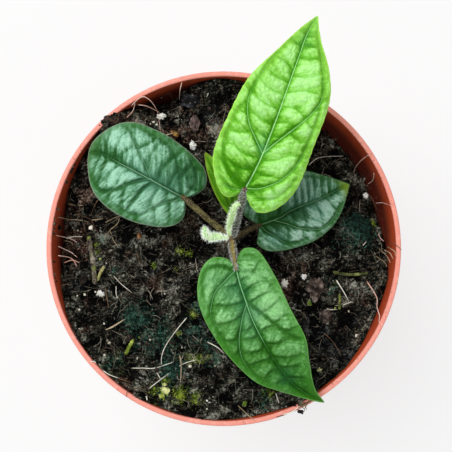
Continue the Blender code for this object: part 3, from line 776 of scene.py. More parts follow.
            [(34, 0), (33, -8), (29, -14)], [(10, -1), (13, -10), (10, -17)],
            [(25, -10), (22, -20), (18, -28)], [(38, -21), (33, -31)],
        ],
        tones=[
            (56, 13, 16, 0.7), (68, -10, 10, 0.7), (52, -18, 12, 0.7), (84, -8, 6, 0.7), (30, -24, 10, 0.8),
            (3, -24, 10, 0.1), (42, -30, 5, 0.7), (57, -31, 4, 0.5), (40, 24, 14, 0.5), (42, -6, 8, -0.9),
            (10, 2, 12, -1), (20, 10, 14, -0.8), (94, 0, 8, -0.4), (34, -4, 6, -0.5),
        ],
        glazes=[(50, 12, 20, 0.6), (60, -12, 12, 0.5), (10, -20, 10, 0.6)],
    ),
    Blade(
        "leaf_small", "leaf_olive", (3.1, 12.3, 104), (-6, 31.4, 109),
        [(-4, 4), (4, 10), (25, 13), (50, 13), (80, 8)],
        [(-4, -5), (4, -12), (22, -19), (50, -20), (80, -11)],
        1.5, 1, 1, OLIVE_GREEN, 0.4, 0, 0.3,
        pale=[(0.3, 0.8, 1), (0, 0, 1), (0, 0, 1)],
        veins=[
            [(0, 0), (50, 0), (100, 0)], [(5, 2), (30, 8), (70, 6)],
            [(5, -2), (30, -12), (70, -9)],
        ],
        rungs=[[(30, 0), (34, 8)], [(50, 0), (54, 7)], [(36, 0), (40, -12)], [(58, 0), (62, -10)]],
        tones=[(20, -2, 20, -0.6), (80, 0, 15, 0.4)],
        glazes=[],
    ),
]

# Reach of the valleys about a main vein, and about a cross-vein on the side of the tip and on the side of the
# stalk, in millimetres, and of the dark furrows in them
VEIN_VALLEY = 0.9
RUNG_VALLEY_TO_TIP = 1.4
RUNG_VALLEY_TO_STALK = 0.6
VEIN_FURROW = 0.5
RUNG_FURROW = 0.25
MIDRIB_LINE = 0.24  # half widths of the pale lines where they start
VEIN_LINE = 0.14
ROUTE_STEPS, MIDRIB_STEPS = 26, 200  # points along a vein, and along the midrib that the rows follow
PEARL = 2.6  # length of one bead of the margin
CELL = 2.3  # width of one of the small cells between the rungs
STREAK_LEAN, STREAK_STRETCH = 0.5, 0.25
# Where each colour of the upper side stands between its darkest and its lightest places: the leaf's own
# greens, with painted shade in the valleys and painted highlights, the sheen, on the swellings
LIT_STOPS = {"furrow": 0.03, "deep": 0.22, "mid": 0.5, "bright": 0.78, "sheen": 1}


def with_pale_lines(kit, colour, blade, tint, outside, inside, fixed=None):
    """The colour with the blade's pale veins over it, each at its own strength or all at a fixed one."""
    for number, (strength, *_) in enumerate(blade.pale):
        if strength:
            away = kit.attribute(f"vein_{number}").maths("ABSOLUTE")
            colour = kit.mix(kit.ramp(away, outside, inside) * (fixed or strength), colour, tint)
    return colour


def leaf_finish(blade):
    """Quilted leaf: deep in its furrows and silvery on its swellings, its own colours with painted shade and
    painted highlights over them, with pale main veins and a pale edge.
    """
    shades = blade.colours
    kit = Finish(blade.name + "_upper", Specular_IOR_Level=0.12)
    cloudy = kit.noise(280, 5, 0.75)
    mottle = kit.noise(1500, 3, 0.7)
    lit = kit.attribute("shade") + (cloudy - 0.5) * 0.75 + (mottle - 0.5) * 0.7
    stops = [(place, shades[name]) for name, place in LIT_STOPS.items()]
    colour = kit.blend_stops(lit, stops)
    colour = kit.mix(kit.attribute("glaze") * 0.5, colour, shades["glaze"])
    warped = kit.warped(900, 0.0006)
    coarse_net = 1 - kit.ramp(kit.cells(520, "DISTANCE_TO_EDGE", warped), 0.0, 0.16)
    fine_net = 1 - kit.ramp(kit.cells(1700, "DISTANCE_TO_EDGE", warped), 0.02, 0.2)
    colour = kit.mix(coarse_net * kit.ramp(cloudy, 0.4, 0.6) * 0.14 + fine_net * 0.12, colour, shades["deep"])
    furrow = kit.attribute("furrow")
    # The dark green in the furrows is partly the leaf's own and partly painted shade.
    colour = kit.mix(furrow * (0.45 + 0.5 * blade.netting), colour, shades["furrow"])
    edge = kit.attribute("edge") + (cloudy - 0.5) * 0.6
    colour = kit.mix(kit.ramp(edge + (cloudy - 0.5) * 3, 3.4, 0.8) * 0.45, colour, shades["band"])
    colour = with_pale_lines(kit, colour, blade, shades["vein"], 1.3, 0.5)
    tip = kit.ramp(kit.attribute("along") + (cloudy - 0.5) * 0.1, 0.84, 1.0)
    colour = kit.mix(tip * 0.8, colour, shades["tip"])
    colour = kit.mix(kit.ramp(edge, 0.42, 0.16) * 0.8, colour, shades["margin"])
    roughness = 0.3 + mottle * 0.24 + furrow * 0.1
    bump = mottle * 0.45 - coarse_net * 0.3 - fine_net * 0.25
    return kit.finish(colour, roughness, bump, 0.09 * MM)


def leaf_underside(blade):
    """Duller and paler, with the veins standing out."""
    shades = blade.colours
    kit = Finish(blade.name + "_under", Specular_IOR_Level=0.3)
    cloudy = kit.noise(200, 3)
    colour = kit.mix(cloudy * 0.6, shades["under"], shades["mid"])
    colour = kit.mix(kit.attribute("furrow") * 0.5, colour, shades["bright"])
    colour = with_pale_lines(kit, colour, blade, "B9C79A", 1.6, 0.7, 0.8)
    veinlets = kit.cells(1150, "DISTANCE_TO_EDGE")
    return kit.finish(colour, 0.6 + cloudy * 0.1, 1 - kit.ramp(veinlets, 0, 0.25), 0.06 * MM)


def nearness(places, route, length):
    """Each place's distance from a smooth route in millimetres, over 0 to its left, and its share along."""
    points = smooth_through(route, ROUTE_STEPS)
    best = np.full(len(places), 1e9)
    share = np.zeros(len(places))
    for number, (start, end) in enumerate(zip(points, points[1:])):
        step = end - start
        t = np.clip((places - start) @ step / (step @ step), 0, 1)
        offset = places - start - t[:, None] * step
        distance = np.hypot(offset[:, 0], offset[:, 1])
        distance = np.where(step[0] * offset[:, 1] - step[1] * offset[:, 0] < 0, -distance, distance)
        nearer = np.abs(distance) < np.abs(best)
        best = np.where(nearer, distance, best)
        share = np.where(nearer, (number + t) / (len(points) - 1), share)
    return best * length / MM, share


def spots_at(places, spots):
    """The sum of soft round spots, each given as its middle, radius and strength."""
    total = np.zeros(len(places))
    for along, out, radius, strength in spots:
        away = np.hypot(places[:, 0] - along, places[:, 1] - out) / radius
        total += strength * np.exp(-(away**2))
    return total


def evened(values):
    """Each value's rank, from 0 to 1."""
    return np.argsort(np.argsort(values)) / (len(values) - 1)


def small_cells(places, length, seed):
    """How far each place is from the veinlets of a net of small cells, from 0 to about 1."""
    away = []
    noise.seed_set(SEEDS["cells"])  # noise_vector would take its seed from the clock
    for along, out in (places * length / MM / CELL).tolist():
        place = Vector((along * 1.15, out, seed))
        place += noise.noise_vector(place * 0.6) * 0.7
        near, far = noise.voronoi(place)[0][:2]
        away.append(far - near)
    return np.array(away)


def streaks(places, length, seed):
    """Long thin swellings that run outward, and lean towards the tip; they also paint highlight streaks."""
    lean = places[:, 0] - STREAK_LEAN * np.abs(places[:, 1])
    spots = np.stack([lean, places[:, 1] * STREAK_STRETCH, np.full(len(places), seed)], axis=1)
    return np.array([noise.fractal(Vector(spot), 0.7, 2.1, 4) for spot in (spots * (length / MM)).tolist()])


def blade_relief(blade, places, length):
    """The swelling between the veins, how strongly each place is a furrow, and its reach from pale lines."""
    away = small_cells(places, length, len(blade.veins) + len(blade.rungs))
    swell = 1 - 0.38 * blade.netting * np.exp(-((away / 0.3) ** 2))
    furrow = 0.42 * blade.netting * np.exp(-((away / 0.075) ** 2))
    lines = {}
    for number, (route, (pale, end, depth)) in enumerate(zip(blade.veins, blade.pale)):
        distance, share = nearness(places, route, length)
        strength = 0.95 * depth * (1 - 0.3 * share**2)
        swell *= 1 - strength * np.exp(-((distance / VEIN_VALLEY / (0.45 + blade.netting)) ** 2))
        furrow = np.maximum(furrow, strength * np.exp(-((distance / VEIN_FURROW) ** 2)))
        if pale:
            left = np.clip(1 - share / end, 0.02, 1)
            start_width = VEIN_LINE if number else MIDRIB_LINE
            half_width = start_width * (0.35 + 0.65 * left) * np.minimum(left * 8, 1)
            lines[f"vein_{number}"] = np.clip(distance / half_width, -9, 9)
    for route in blade.rungs:
        distance, share = nearness(places, route, length)
        to_tip = distance * (route[-1][1] - route[0][1]) < 0
        valley = np.where(to_tip, RUNG_VALLEY_TO_TIP, RUNG_VALLEY_TO_STALK) * (0.45 + blade.netting)
        strength = 0.85 - (0.6 - 0.45 * blade.netting) * share
        swell *= 1 - strength * np.exp(-((distance / valley) ** 2))
        furrow = np.maximum(furrow, 0.85 * strength * np.exp(-((distance / RUNG_FURROW) ** 2)))
    return swell, furrow, lines


def make_blade(blade, settings):
    """One leaf's blade: a grid bent between its midrib and its outline, quilted and then thickened."""
    base = np.array(blade.base) * MM
    chord = np.array(blade.tip) * MM - base
    length = math.hypot(chord[0], chord[1])
    ahead = np.array((chord[0], chord[1], 0)) / length
    leftwards = np.array((-ahead[1], ahead[0], 0))
    longest = max(math.dist(other.base, other.tip) for other in BLADES)
    rows = max(60, int(settings.rows * math.dist(blade.base, blade.tip) / longest))
    half_width = max(abs(out) for _, out in blade.left + blade.right)
    columns = 2 * max(20, int(rows * half_width * 1.05))
    bm, row_share, column_share = grid(rows, columns)
    row = np.rint(row_share * rows).astype(int)
    spoke = column_share * 2 - 1
    right, left = (smooth_through([(0, 0), *side, (1, 0)], rows + 1) for side in (blade.right, blade.left))
    fine = smooth_through(blade.veins[0], MIDRIB_STEPS)
    steps = np.linspace(0, 1, MIDRIB_STEPS)
    midrib = np.stack([np.interp(row_share**1.5, steps, column) for column in fine.T], axis=1)
    edge = np.where((spoke >= 0)[:, None], left[row], right[row])
    turns = row_share * length * 1.2 / (PEARL * MM)
    wave = np.cos(turns * math.tau + 1.4 * np.sin(row_share * 19 + np.sign(spoke)))
    bead = wave * np.clip(2.1 - row_share * 2.4, 0, 1)
    bead *= blade.pearls
    reach = np.abs(spoke)[:, None]
    flat = midrib + (edge - midrib) * reach * (1 + 0.005 * bead[:, None] * reach**8)
    to_margin = np.linalg.norm((edge - midrib) * (1 - reach), axis=1) * length / MM
    across = np.minimum(np.abs(flat[:, 1] - midrib[:, 1] * (1 - reach[:, 0])) / half_width, 1.2)
    along = flat[:, 0]
    rise = blade.arch * 4 * along * (1 - along) + blade.fold * across * (2 - across) - blade.droop * across**2
    rise += np.sin(along * 23 + np.sign(spoke) * 1.7) * across**3 * 0.45
    swell, furrow, lines = blade_relief(blade, flat, length)
    swell *= 1 - 0.45 * blade.pearls * (0.5 - 0.5 * bead) * np.exp(-(((to_margin - 1.2) / 1.1) ** 2))
    streaky = (1 - blade.netting) * streaks(flat, length, blade.arch)
    swell += 0.25 * streaky
    # The shade drives painted light: swellings, streaks and silvery spots get painted highlights, valleys and
    # deep spots painted shade.
    shade = evened(0.85 * swell + 0.55 * streaky + 0.6 * spots_at(flat, blade.tones))
    swell *= 1 - 0.8 * np.exp(-((to_margin / 0.9) ** 2))
    height = rise * MM + chord[2] * along
    height += (swell - 0.5) * settings.quilting * blade.quilting - furrow * settings.groove
    places = base + ahead * (along * length)[:, None] + leftwards * (flat[:, 1] * length)[:, None]
    places[:, 2] += height
    move_all(bm, places)
    layers = {
        "shade": shade, "glaze": np.clip(spots_at(flat, blade.glazes), 0, 1), "furrow": furrow,
        "edge": to_margin, "along": along, **lines,
    }
    for name, values in layers.items():
        set_layer(bm, name, values)
    bmesh.ops.remove_doubles(bm, verts=bm.verts, dist=0.01 * MM)
    bmesh.ops.dissolve_degenerate(bm, dist=0.001 * MM, edges=bm.edges)
    bmesh.ops.recalc_face_normals(bm, faces=bm.faces)
    if sum(face.normal.z * face.calc_area() for face in bm.faces) < 0:
        bmesh.ops.reverse_faces(bm, faces=bm.faces)
    materials = [leaf_finish(blade), leaf_underside(blade)]
    leaf = piece(blade.name + "_blade", bm, materials, [blade.name])
    thick = leaf.modifiers.new("thickness", "SOLIDIFY")
    thick.thickness = settings.thickness
    thick.offset = -1
    thick.material_offset = 1


# ---- stem, stalks and shoots ----


@dataclass
class Stalk:
    """The stem, a leaf stalk or a shoot."""

    route: list  # x, y, z and radius at each point, in millimetres
    bark: tuple  # its dark and its light colour
    hairs: int
    hair_length: float  # millimetres
    hair_tint: str
    groove: float = 0.0  # depth of the groove along its upper side, as a share of the radius
    groove_tint: str = "6E6A2A"
    joints: tuple = (0, 0)  # how reddish it is at its start and at its end
    fringe: float = 0.0  # how far its hairs keep to its two sides
    lean: float = 0.5  # how far they lean towards its end
    slot: str = "stem"


STALKS = {
    "stem": Stalk(
        [(1.5, 1, 60, 1.3), (1.6, 1.5, 84, 1.7), (2.3, 2.7, 95, 1.7), (2.6, 3.4, 100, 1.6),
         (2.6, 3.6, 101.6, 1.2), (2.6, 3.6, 102.2, 0.5)],
        ("3A2E1C", "7A6A48"), 400, 0.5, "A79A80"),
    "petiole_left": Stalk(
        [(2.3, 3.6, 99.5, 1), (-0.7, 6.3, 100.4, 1), (-7, 11.6, 101.4, 0.95), (-12.4, 16.4, 101, 0.95),
         (-13.4, 17.2, 100.8, 0.7), (-14.2, 17.8, 100.6, 0.35)],
        ("2A200C", "6A6434"), 620, 0.4, "B8AC80", joints=(0, 0.5)),
    "petiole_top": Stalk(
        [(2.8, 3.7, 101.6, 1), (3.6, 6.6, 103.6, 1.1), (5, 12.5, 109, 1.1), (6.2, 17.4, 113.2, 1.15),
         (6.7, 19.2, 114.3, 0.8), (7, 20, 114.5, 0.4)],
        ("242620", "6A6C5C"), 1000, 1.0, "F2F6F0", joints=(0, 0.6), fringe=0.2, lean=1.2),
    "petiole_front": Stalk(
        [(2.8, 3, 101.6, 1.1), (2.9, 0.6, 103, 1.2), (3.3, -2.6, 104.3, 0.95), (3.8, -5, 104.8, 0.7),
         (4.05, -6.3, 104.9, 0.45), (4.2, -7, 104.8, 0.3)],
        ("3E3018", "7A6A3C"), 480, 0.9, "E8ECE8", 0.45, "94843A", (0.7, 0.2), 0.6, 0.8),
    "petiole_right": Stalk(
        [(2.1, 2.4, 92, 0.8), (6, 4.9, 91.2, 0.85), (9.6, 6.8, 92.2, 0.85), (11.6, 7.7, 93.5, 0.8),
         (12.4, 8.1, 93.7, 0.5), (13, 8.5, 93.6, 0.3)],
        ("1C150A", "4E4226"), 300, 0.6, "847A60", joints=(0, 0.2)),
    "petiole_small": Stalk(
        [(2.5, 3.6, 98, 0.6), (2.6, 7, 99.4, 0.7), (3, 11.6, 103, 0.7), (3, 12.8, 103.6, 0.3)],
        ("3E4414", "7C8A34"), 120, 0.5, "B9BF9E"),
    "shoot_tip": Stalk(
        [(2.3, 4, 102.6, 0.6), (1.7, 6.8, 104.8, 0.8), (2.5, 10.4, 110, 1.05), (3.4, 13.3, 114.4, 0.95),
         (4.3, 14.4, 115.8, 0.65), (5.4, 14.1, 116.2, 0.35)],
        ("B0DC84", "ECFFCC"), 560, 1.0, "F6FFEC", 0.08, "BCE690", (1, 0), lean=0.25, slot="shoot"),
    "side_bud": Stalk(
        [(2.1, 3.8, 101.6, 0.45), (0.2, 3.9, 102, 0.5), (-1.4, 4.1, 102.8, 0.95), (-3.4, 4.1, 103.4, 1.3),
         (-5.1, 4.3, 104.4, 1.25), (-6, 5.4, 106, 0.85), (-6, 7.4, 107.8, 0.5)],
        ("A8DC78", "E8FFC4"), 900, 1.35, "F8FFF6", joints=(0.5, 0), slot="shoot"),
}
STALK_RINGS, STALK_SIDES = 70, 28
# Hairs: their thickness beside the setting's, their darkest shade beside their tint, and their glow, which is
# painted light
STALK_HAIR, SHOOT_HAIR = (0.5, 0.2, 0.1), (0.6, 0.75, 0.28)


def stalk_finish(name, stalk):
    """Skin of a stalk: streaked and freckled, with its groove and its reddish joints."""
    kit = Finish(name + "_skin", Specular_IOR_Level=0.2)
    streak = kit.noise(420, 4, 0.7)
    freckle = kit.ramp(kit.noise(1900, 2, 0.5), 0.5, 0.66)
    dark, light = stalk.bark
    colour = kit.mix(kit.ramp(streak, 0.38, 0.62), dark, light)
    colour = kit.mix(freckle * 0.5, colour, dark)
    colour = kit.mix(kit.ramp(kit.noise(2700, 2, 0.6), 0.55, 0.63) * 0.65, colour, stalk.hair_tint)
    colour = kit.mix(kit.attribute("groove") * 0.85, colour, stalk.groove_tint)
    colour = kit.mix((kit.attribute("joint") * (0.5 + streak)).clamped(), colour, "7A3A1C")
    return kit.finish(colour, 0.55 + streak * 0.2, streak * 0.6 + freckle * 0.4, 0.15 * MM)


def hair_finish(name, code, darkest, glow):
    """Hairs that glow a little: painted light standing for the light that shines through them."""
    shade = paint(code)
    kit = Finish(name, Specular_IOR_Level=0.1, Emission_Strength=glow)
    shift = kit.noise(2600, 2)
    colour = kit.mix(kit.ramp(shift, 0.38, 0.6), tuple(part * darkest for part in shade), shade)
    kit.feed(kit.shader.inputs["Emission Color"], colour)
    return kit.finish(colour, 0.6 + shift * 0.1, shift, 0.01 * MM)


def make_stalk(name, stalk, seed, settings):
    """A stalk's skin, and its hairs as a piece of their own."""
    route, radii = tube_points(stalk.route, STALK_RINGS)

    def section(share, angle):
        dip = stalk.groove * np.exp(-(((angle - math.pi / 2) / 0.55) ** 2)) * np.clip(share * 6, 0, 1)
        ribs = 0.035 * np.sin(angle * 7) + 0.03 * np.sin(share * 31 + angle * 2)
        return 1 - dip + ribs

    bm = rolled_tubes([route], [radii], STALK_SIDES, section)
    places = np.array([vertex.co for vertex in bm.verts])
    side, up = tube_frame(route)
    nearest = np.argmin(np.linalg.norm(places[:, None] - route[None], axis=2), axis=1)
    offset = (places - route[nearest]) / np.maximum(radii[nearest], 1e-6)[:, None]
    sideways = (offset * side[nearest]).sum(1)
    above = (offset * up[nearest]).sum(1) > 0
    set_layer(bm, "groove", np.exp(-((sideways / 0.45) ** 2)) * above * (stalk.groove > 0))
    share = nearest / (STALK_RINGS - 1)
    at_start = stalk.joints[0] * np.exp(-((share / 0.06) ** 2))
    at_end = stalk.joints[1] * np.exp(-(((1 - share) / 0.05) ** 2))
    set_layer(bm, "joint", at_start + at_end)
    piece(name + "_skin", bm, [stalk_finish(name, stalk)], [name])
    generator = np.random.default_rng(seed)
    ring = generator.integers(3, STALK_RINGS - 3, stalk.hairs)
    angle = generator.uniform(0, math.tau, stalk.hairs)
    angle -= stalk.fringe * 0.45 * np.sin(2 * angle)
    outward = side[ring] * np.cos(angle)[:, None] + up[ring] * np.sin(angle)[:, None]
    ahead = np.cross(up, side)
    spots = route[ring] + outward * (radii[ring] * 0.92)[:, None]
    leaning = unit(outward + stalk.lean * ahead[ring] + generator.normal(0, 0.35, (stalk.hairs, 3)))
    lengths = stalk.hair_length * MM * generator.uniform(0.4, 1.2, stalk.hairs)
    thick, darkest, glow = SHOOT_HAIR if stalk.slot == "shoot" else STALK_HAIR
    hairs = spikes(spots, leaning, lengths, settings.hair_thickness * thick)
    finish = hair_finish(name + "_hair", stalk.hair_tint, darkest, glow)
    piece(name + "_hairs", hairs, [finish], smooth=False)


# ---- soil ----

# Where a green film grows on the peat: x, y and radius in millimetres, and its strength
GREEN_FILM = [
    (-29, -25, 7, 1), (-22, -31, 7, 1), (-36, -39, 5, 0.9), (-8, -34, 6, 0.8), (-10, -28, 4, 0.8),
    (-17, -41, 7, 0.7), (46, 8, 6, 0.9), (0, -46, 7, 0.6), (-41, -43.7, 4, 1), (-12, -20, 4, 0.6),
    (-25, -52, 6, 0.8), (14, -52, 5, 0.6), (37.5, -12.5, 4, 1), (-42, 1, 4, 0.6), (-25, -4, 5, 0.6),
    (-12, -22, 4, 0.8), (-34, 3, 4, 0.4), (51, -7, 4, 0.6), (-5, -36, 4, 0.7), (41, 1, 5, 0.5),
]
# Where the peat is browner, and bluish-black clods, in the same way
BROWN_PEAT = [
    (-18, 39, 7, 0.9), (-35, 43, 7, 0.7), (-53, 2, 9, 1), (-46, 24, 12, 0.7), (22, -12, 6, 0.8),
    (20, -20, 5, 0.6), (-10, 8, 9, 0.5), (-24, -13, 5, 0.8), (30, 38, 8, 0.4), (-36, -46, 5, 0.6),
    (-46, -30, 8, 0.4), (-4, 44, 12, 0.5),
]
BLACK_CLODS = [
    (31, -26.5, 5, 1), (40.5, -36, 6, 1), (45, -24.5, 4, 0.9), (34, -32, 4, 0.8), (17, -3, 4, 0.8),
    (30, -46, 5, 0.8), (-50, -12, 5, 0.7), (-26, -9, 5, 0.7), (-3, 46, 5, 0.7), (-12, 44, 4, 0.8),
    (-44, -20, 4, 0.5), (-6, -26, 3, 0.6), (51, 2, 4, 0.8),
]


def peat_finish(name):
    """Moist peat: painted shade, near black, in its hollows, grey and brown grain, short fibres every way and
    a green film in places.
    """
    kit = Finish(name, Specular_IOR_Level=0.04)
    clods = kit.noise(190, 4, 0.7)
    grain = kit.noise(1300, 4, 0.75)
    place = kit.warped(700, 0.0012)
    crumbs = kit.add("ShaderNodeTexVoronoi", {}, {"Vector": place, "Scale": 950}, "Color")
    tone = clods * 0.5 + grain * 0.48 + kit.noise(3600, 2, 0.6) * 0.18 + kit.noise(100, 3, 0.6) * 0.16
    tone = tone + crumbs * 0.09 - 0.205
    greys = [
        (0.44, "020302"), (0.475, "0C0D0A"), (0.505, "1D1E19"), (0.535, "31322C"), (0.57, "5A5B4F"),
        (0.6, "9A9B8F"),
    ]
    browns = [
        (0.44, "050302"), (0.475, "190D0A"), (0.505, "34221B"), (0.535, "4A352C"), (0.57, "705C50"),
        (0.61, "A89888"),
    ]
    teals = [(0.44, "010604"), (0.475, "04120E"), (0.51, "0C261F"), (0.545, "1E4438"), (0.59, "567862")]
    olives = [(0.44, "020400"), (0.475, "0C1406"), (0.51, "20280E"), (0.545, "3E4A1C"), (0.59, "7E8648")]
    grey, brown, teal, olive = (kit.blend_stops(tone, stops) for stops in (greys, browns, teals, olives))
    green = kit.mix(kit.ramp(kit.noise(75, 2), 0.5, 0.58), teal, olive)
    warmth = kit.ramp(kit.attribute("warm") + (kit.noise(120, 3, 0.6) - 0.5) * 3, 0.3, 0.8)
    colour = kit.mix(warmth, grey, brown)
    film = kit.attribute("green") + (kit.noise(200, 4, 0.7) - 0.5) * 3
    colour = kit.mix(kit.ramp(film, 0.5, 0.9) * 0.8, colour, green)
    short = kit.ramp(kit.noise(420, 2), 0.48, 0.56)
    for turn in (0.7, 2.1, -0.5):
        fibre = kit.noise(1, 2, 0.6, kit.stretched((320, 3000, 900), turn))
        colour = kit.mix(kit.ramp(fibre, 0.6, 0.66) * short * 0.45, colour, "8A7C6A")
    black = kit.ramp(kit.attribute("black") + (kit.noise(200, 3, 0.6) - 0.5) * 2, 0.35, 0.75)
    colour = kit.mix(black * 0.75, colour, kit.mix(kit.ramp(tone, 0.48, 0.62), "040506", "3C4246"))
    # Painted shade: the relief's hollows darkened to near black.
    hollow = kit.ramp(kit.attribute("hollow") - (grain - 0.5) * 1.2, 0.2, 0.75)
    colour = kit.mix(hollow * 0.96, colour, "010101")
    return kit.finish(colour, 0.9 - grain * 0.2, tone, 0.9 * MM)


def clod_height(x, y, z):
    """The peat's clods and crumbs over its level, from about -1.5 to 1.5 millimetres."""
    place = Vector((x, y, z)) / MM
    broad = noise.noise(place * 0.16) * 1.3
    near, far = noise.voronoi(place * 0.42 + Vector((3, 7, 0)))[0][:2]
    clod = (far - near) * 1.8 - 0.75
    near, far = noise.voronoi(place * 0.95 + Vector((11, 2, 5)))[0][:2]
    crumb = (far - near) * 0.8 - 0.3
    grain = noise.fractal(place * 1.6, 0.7, 2.1, 4) * 0.55
    return broad + clod * (0.6 + 0.7 * noise.noise(place * 0.21)) + crumb + grain


# Where the peat has shrunk from the wall, or is heaped against it: the turn and the half width in degrees,
# and how far the surface drops there in millimetres
WALL_GAPS = [
    (111, 10, 14), (132, 8, -4), (90, 10, -4), (174, 18, 7), (206, 16, -4), (232, 26, -4), (265, 16, -3),
    (0, 40, 2), (62, 14, 3), (316, 24, -4.5), (296, 7, -3.5), (350, 9, -6),
]
GAP_START = 0.89  # share of the radius


def wall_drop(turn):
    """How far the peat drops at the wall, at those turns in radians."""
    total = np.zeros(len(turn))
    for middle, width, depth in WALL_GAPS:
        away = (np.degrees(turn) - middle + 180) % 360 - 180
        total += depth * MM * np.exp(-((away / width) ** 2))
    return total


SOIL_GRID = 262
DARKENED, BLACK = 0.4, 0.14  # shares of the surface whose hollows get painted shade, and nearly black painted shade


def next_ring(bm, rim):
    """Extrudes an open rim, and gives the new ring's vertices and edges."""
    grown = bmesh.ops.extrude_edge_only(bm, edges=rim)["geom"]
    edges = [item for item in grown if isinstance(item, bmesh.types.BMEdge) and item.is_boundary]
    return [item for item in grown if isinstance(item, bmesh.types.BMVert)], edges


def make_soil(pot_settings):
    """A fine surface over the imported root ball, then its sides and underside."""
    bm, across, upward = grid(SOIL_GRID, SOIL_GRID)
    x, y = across * 2 - 1, upward * 2 - 1
    # A square stretched to a disc
    disc_x, disc_y = x * np.sqrt(1 - y**2 / 2), y * np.sqrt(1 - x**2 / 2)
    level = soil_level(disc_x * WALL_TOP_RADIUS, disc_y * WALL_TOP_RADIUS)
    edge_gap = 0.3 * MM
    angle = np.arctan2(disc_y, disc_x)
    drop = wall_drop(angle)
    edge_level = soil_level(np.cos(angle) * WALL_TOP_RADIUS, np.sin(angle) * WALL_TOP_RADIUS) - drop
    radius = inner_radius(edge_level, pot_settings) - edge_gap
    reach = np.hypot(disc_x, disc_y)
    level -= drop * np.clip((reach - GAP_START) / (1 - GAP_START), 0, 1) ** 0.8
    places = np.stack([disc_x * radius, disc_y * radius, level], axis=1)
    relief = np.array([clod_height(*place) for place in places.tolist()])
    flat = places[:, :2] / MM
    green = np.clip(spots_at(flat, GREEN_FILM), 0, 1)
    relief *= np.where(reach > 0.97, 0.6, 1) * (1 - 0.5 * green)
    places[:, 2] += relief * MM
    highest = RIM_HEIGHT - 0.5 * MM
    places[:, 2] = np.minimum(places[:, 2], highest)
    move_all(bm, places)
    set_layer(bm, "green", green)
    set_layer(bm, "warm", spots_at(flat, BROWN_PEAT))
    set_layer(bm, "black", np.clip(spots_at(flat, BLACK_CLODS), 0, 1))
    # The lowest places of the relief, with broad noise, marked for painted shade.
    broad = [noise.noise(Vector(place) / MM * 0.24) for place in places.tolist()]
    hollow = (DARKENED - evened(relief + 2 * np.array(broad))) / (DARKENED - BLACK)
    set_layer(bm, "hollow", np.clip(hollow, 0, 1))
    rim = [edge for edge in bm.edges if edge.is_boundary]
    floor = FOOT_HEIGHT + WALL + 0.35 * MM
    ledge = RIM_HEIGHT - pot_settings.collar_height
    for height in (ledge + 1 * MM, ledge, ledge - LEDGE_DROP, (ledge + floor) / 2, floor + 2 * MM):
        verts, rim = next_ring(bm, rim)
        for vertex in verts:
            low = min(height, vertex.co.z - 0.5 * MM)
            ratio = (float(inner_radius(low, pot_settings)) - edge_gap) / vertex.co.to_2d().length
            vertex.co = (vertex.co.x * ratio, vertex.co.y * ratio, low)
    for radius, height in (
        (FOOT_RADIUS - WALL - 2.2 * MM, floor), (CENTRE_PAD_RADIUS + 1 * MM, floor),
        (CENTRE_PAD_RADIUS - 1.3 * MM, WALL + 0.35 * MM), (0, WALL + 0.35 * MM),
    ):
        verts, rim = next_ring(bm, rim)
        for vertex in verts:
            ratio = radius / vertex.co.to_2d().length
            vertex.co = (vertex.co.x * ratio, vertex.co.y * ratio, height)
    bmesh.ops.remove_doubles(bm, verts=bm.verts, dist=0.001 * MM)
    bmesh.ops.recalc_face_normals(bm, faces=bm.faces)
    piece("soil_surface", bm, [peat_finish("peat")], ["soil"])


def random_spot(generator, reach=0.99):
    """A random place over the soil, as x and y."""
    distance = math.sqrt(generator.random()) * reach * (WALL_TOP_RADIUS - 0.8 * MM)
    angle = generator.random() * math.tau
    return distance * math.cos(angle), distance * math.sin(angle)


def scatter_lumps(places, sizes, seed, roughness, detail):
    """Small uneven lumps at those places."""
    generator = np.random.default_rng(seed)
    count = len(sizes)
    bm = bmesh.new()
    bmesh.ops.create_icosphere(bm, subdivisions=detail, radius=1)
    local = np.array([vertex.co for vertex in bm.verts])
    multiply(bm, count)
    squash = generator.uniform((0.55, 0.55, 0.4), (1.35, 1.0, 0.9), (count, 3))
    turn = generator.uniform(0, math.tau, count)
    shapes = np.repeat(local[None], count, axis=0)
    shift = np.arange(count) * 3.1
    bumps = [
        noise.noise((x * 1.5 + shift[number], y * 1.5, z * 1.5))
        for number, shape in enumerate(shapes.tolist()) for x, y, z in shape
    ]
    shapes = shapes * (1 + roughness * np.array(bumps).reshape(count, -1, 1)) * squash[:, None]
    cos, sin = np.cos(turn)[:, None], np.sin(turn)[:, None]
    x, y = shapes[:, :, 0] * cos - shapes[:, :, 1] * sin, shapes[:, :, 0] * sin + shapes[:, :, 1] * cos
    shapes = np.stack([x, y, shapes[:, :, 2]], axis=2) * np.array(sizes)[:, None, None]
    move_all(bm, (shapes + np.array(places)[:, None]).reshape(-1, 3))
    return bm


RIM_CRUMBS = 74  # how many of the first heaps' crumbs may lie on the rim itself
# Litter heaped against the wall and over the rim: x, y and spread in millimetres, and how many crumbs
HEAPS = [
    (-38.2, 42.4, 2, 70), (24.8, -52.6, 0.9, 4), (-50, 26, 2.5, 40), (-56, 8, 2, 30),
    (-55, -10, 2.5, 40), (-50, -28, 2.5, 40), (-28, -50, 2.5, 30), (-4, -56, 2, 20),
]


